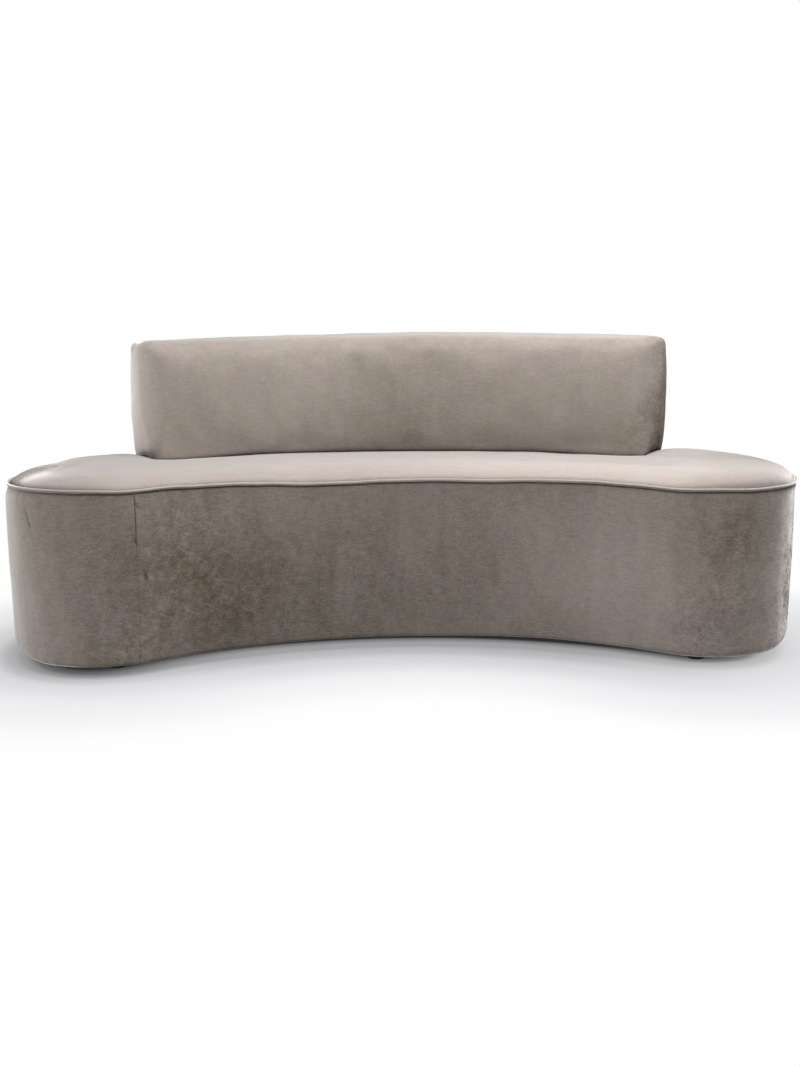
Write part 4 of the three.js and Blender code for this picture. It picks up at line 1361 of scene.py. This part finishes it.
def makeScrews(material):
    nodes = [f"foot_screw_{number}" for number in range(1, 7)]
    boxes = [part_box(node) for node in nodes]
    centres = [((low + high) / 2).xy for low, high in boxes]
    pattern = screwShape(boxes[0][0].z, boxes[0][1].z)
    tree = Tree("screwsOnPoints", {"Screw": "NodeSocketObject", "Seed": "NodeSocketInt",
                                   "Material": "NodeSocketMaterial"})
    given = tree.entry.outputs
    shape = tree.node("GeometryNodeObjectInfo", None, {"Object": given["Screw"], "As Instance": True},
                      out="Geometry")
    turn = tree.node("FunctionNodeRandomValue", {"data_type": "FLOAT_VECTOR"},
                     {0: (0, 0, 0), 1: (0, 0, 1.5), "Seed": given["Seed"]})
    placed = tree.node("GeometryNodeInstanceOnPoints", None,
                       {"Points": given["Geometry"], "Instance": shape, "Rotation": turn})
    plain = tree.node("GeometryNodeRealizeInstances", None, {"Geometry": placed})
    coloured = tree.node("GeometryNodeSetMaterial", None, {"Geometry": plain, "Material": given["Material"]})
    tree.group.links.new(coloured, tree.exit.inputs["Geometry"])
    mesh = bpy.data.meshes.new("foot_screws")
    mesh.from_pydata([(*centre, 0.0) for centre in centres], [], [])
    piece = bpy.data.objects.new("foot_screws", mesh)
    scene.collection.objects.link(piece)
    tree.run(piece, {"Screw": pattern, "Seed": 3, "Material": material})
    bpy.data.objects.remove(pattern)
    return addTo(piece, "steel", *nodes)


# Each piece's nap mean and zones are partly the velvet's own nap and partly painted light and shade: the
# seat and piping painted lighter and the base darker, as the light from above falls, the back's left end
# painted lit and its right end shaded
velvets = {
    "seat": makeVelvet("velvetSeat", 0.84, 0.5, (
        ((-0.80, -0.20, 0.45), 0.50, -0.08, 0.05),
        ((-0.97, -0.20, 0.46), 0.22, 0.08, 0.80),
        ((-0.93, -0.27, 0.46), 0.14, 0.04, 0.40),
        ((0.50, -0.10, 0.45), 0.80, 0.12, 0.0),
        ((0.96, -0.10, 0.45), 0.30, -0.34, 0.25),
    )),
    "base": makeVelvet("velvetBase", 0.49, 1.0, (
        ((-1.02, -0.08, 0.20), 0.22, -0.12, 0.40),
        ((-0.54, -0.36, 0.23), 0.34, -0.30, 0.50),
        ((-0.24, -0.26, 0.11), 0.38, -0.16, 0.25),
        ((-0.90, -0.38, 0.12), 0.26, 0.18, 0.10),
        ((0.10, -0.20, 0.15), 0.40, -0.09, 0.10),
        ((0.56, -0.36, 0.19), 0.38, 0.25, -0.10),
        ((0.73, -0.47, 0.32), 0.17, -0.22, 0.40),
        ((0.73, -0.47, 0.14), 0.17, -0.14, 0.40),
        ((0.95, -0.34, 0.10), 0.26, 0.30, 0.50),
        ((1.00, -0.22, 0.24), 0.42, 0.04, 0.70),
        ((0.66, -0.45, 0.06), 0.16, 0.05, 0.40),
        ((-0.66, -0.45, 0.05), 0.16, 0.05, 0.50),
    )),
    "back": makeVelvet("velvetBack", 0.68, 0.7, (
        ((0.78, 0.20, 0.80), 0.13, -0.22, 1.00),
        ((0.78, 0.20, 0.68), 0.13, -0.20, 0.90),
        ((0.77, 0.18, 0.57), 0.16, -0.22, 0.80),
        ((0.73, 0.15, 0.48), 0.21, -0.24, 0.80),
        ((0.05, 0.28, 0.47), 0.50, -0.24, 0.05),
        ((0.45, 0.24, 0.58), 0.30, -0.06, 0.0),
        ((0.60, 0.20, 0.80), 0.16, -0.05, 0.10),
        ((-0.55, 0.24, 0.60), 0.30, -0.06, 0.0),
        ((-0.78, 0.20, 0.60), 0.20, 0.32, -0.1),
        ((-0.77, 0.22, 0.80), 0.09, -0.15, 0.9),
    )),
    "piping": makeVelvet("velvetPiping", 1.0, 0.6, ()),
}
makeBase(velvets["base"])
print("base made")
makeSeat(velvets["seat"])
print("seat made")
makeBack(velvets["back"])
print("back made")
makeWelt(velvets["piping"])
print("piping made")
makeDustCover(dustCloth)
makeStaples(steel)
makeFeet(plastic)
makeScrews(steel)
print("underside made")

# The hidden pieces of the frame keep their shapes and get their own finishes
nodeFinishes = (
    (woods["plywood"], ("base_", "seat_deck", "back_front_panel", "back_rear_panel", "back_end_board")),
    (woods["timber"], ("back_bottom_rail", "back_top_rail", "back_post", "back_block")),
    (webbing, ("seat_strap",)),
    (steel, ("back_bolt",)),
)


def dressFrame():
    for material, starts in nodeFinishes:
        for name, node in frame["nodes"].items():
            if name.startswith(starts) and not node.hide_render:
                node.data.materials.clear()
                node.data.materials.append(material)


dressFrame()
print("frame dressed")

# Studio: a pale floor that fades to white, and soft light from above and from the left
studio = {
    "floorReach": 60.0,
    "floorColumns": 400,
    "floorColours": (paint(126, 126, 132), paint(129, 129, 135)),
    # Share of its own light that keeps the floor's shadows pale; held back near the base, it paints a soft
    # shadow round it: (distance outwards from the base, share)
    "floorGlow": {
        "left": (
            (-0.09, 0.0), (-0.05, 0.09), (-0.02, 0.25), (0.01, 0.33), (0.07, 0.57), (0.2, 0.75), (0.5, 0.98),
        ),
        "middle": (
            (-0.11, 0.02), (-0.08, 0.22), (-0.05, 0.34), (-0.03, 0.34), (0.0, 0.20), (0.03, 0.22),
            (0.12, 0.44), (0.3, 0.78), (0.5, 0.98),
        ),
        "right": (
            (-0.12, 0.05), (-0.09, 0.16), (-0.05, 0.46), (-0.02, 0.53), (0.1, 0.58), (0.3, 0.72),
            (0.5, 0.99),
        ),
    },
    "glowRun": (0.35, 0.85),  # along X, from the middle's stops to those of an end
    "ambient": (0.14, 0.52),  # from the dark side and from the bright one
    "ambientFrom": (-0.55, -0.55, 0.63),
    "ambientColour": (0.96, 0.98, 1.0, 1),
    "lights": (  # name, place, aim, width, height, power
        ("overhead", (0.7, -0.2, 2.5), (0.15, 0.1, 0.3), 4.2, 2.4, 222.0),
        ("left", (-3.1, -0.65, 0.26), (-0.8, -0.1, 0.30), 1.8, 0.32, 47.0),
        ("leftCap", (-2.6, 0.0, 0.35), (-0.76, 0.2, 0.74), 0.4, 0.14, 1.0),
        ("front", (0.2, -4.4, 1.5), (0.1, 0.0, 0.2), 3.6, 2.0, 8.0),
    ),
    "spreads": {"leftCap": 26.0},  # degrees, where it isn't the widest
    "widest": 180.0,
}


def makeFloor():
    # Rings that follow the base's outline, so that the floor's glow can grow with the distance from it
    graph = Graph("studioFloor")
    share = graph.node("ShaderNodeAttribute", {"attribute_name": "glow"}, out="Fac")
    colour = graph.mix(graph.noise(2.0, 2.0), *studio["floorColours"])
    graph.finish(Base_Color=colour, Roughness=0.75, Specular_IOR_Level=0.25)
    light = graph.node("ShaderNodeEmission", None, {"Color": (1, 1, 1, 1), "Strength": 1.0})
    graph.blendSurface(share, light)
    count = studio["floorColumns"]
    along = np.arange(count) * edgeLength / count
    places = np.concatenate([[-0.2], np.arange(-0.13, 0.13, 0.01), np.arange(0.15, 0.52, 0.05)])
    rings = [edgeAt(along, np.full(count, place)) for place in places]
    rings += [rings[-1] * scale for scale in (1.4, 3, 10, studio["floorReach"])]
    glow = {}
    for side, stops in studio["floorGlow"].items():
        glow[side] = np.append(eased(places, stops), np.ones(len(rings) - len(places)))[:, None]
    across = edgeAt(along)[:, 0]
    toLeft, toRight = smoothStep(-across, *studio["glowRun"]), smoothStep(across, *studio["glowRun"])
    shares = glow["middle"] * (1 - toLeft - toRight) + glow["left"] * toLeft + glow["right"] * toRight
    faces = [list(range(count))]
    for ring in range(len(rings) - 1):
        inner, outer = ring * count, (ring + 1) * count
        for i in range(count):
            after = (i + 1) % count
            faces.append([inner + i, outer + i, outer + after, inner + after])
    flat = np.concatenate(rings)
    floor = makePiece("studioFloor", np.column_stack([flat, np.zeros(len(flat))]), faces, graph.material)
    attribute = floor.data.attributes.new("glow", "FLOAT", "POINT")
    attribute.data.foreach_set("value", shares.ravel().astype(np.float32))


def makeLights():
    for name, place, aim, width, height, power in studio["lights"]:
        data = bpy.data.lights.new(name, "AREA")
        data.shape = "RECTANGLE"
        data.size = width
        data.size_y = height
        data.energy = power
        data.spread = math.radians(studio["spreads"].get(name, studio["widest"]))
        light = bpy.data.objects.new(name, data)
        light.location = place
        light.rotation_euler = (Vector(aim) - Vector(place)).to_track_quat("-Z", "Y").to_euler()
        light.visible_camera = False
        scene.collection.objects.link(light)


def makeWorld():
    world = bpy.data.worlds.new("studio")
    world.use_nodes = True
    nodes, links = world.node_tree.nodes, world.node_tree.links
    seen = nodes["Background"]
    seen.inputs["Color"].default_value = (1, 1, 1, 1)
    seen.inputs["Strength"].default_value = 1.0
    soft = nodes.new("ShaderNodeBackground")
    soft.inputs["Color"].default_value = studio["ambientColour"]
    around = nodes.new("ShaderNodeTexCoord")
    facing = nodes.new("ShaderNodeVectorMath")
    facing.operation = "DOT_PRODUCT"
    links.new(around.outputs["Generated"], facing.inputs[0])
    facing.inputs[1].default_value = studio["ambientFrom"]
    fade = nodes.new("ShaderNodeMapRange")
    links.new(facing.outputs["Value"], fade.inputs["Value"])
    fade.inputs["From Min"].default_value = -1.0
    fade.inputs["To Min"].default_value, fade.inputs["To Max"].default_value = studio["ambient"]
    links.new(fade.outputs[0], soft.inputs["Strength"])
    rays = nodes.new("ShaderNodeLightPath")
    blend = nodes.new("ShaderNodeMixShader")
    links.new(rays.outputs["Is Camera Ray"], blend.inputs[0])
    links.new(soft.outputs[0], blend.inputs[1])
    links.new(seen.outputs[0], blend.inputs[2])
    links.new(blend.outputs[0], nodes["World Output"].inputs["Surface"])
    scene.world = world
    scene.view_settings.view_transform = "Standard"


makeFloor()
makeLights()
makeWorld()
print("studio lit")
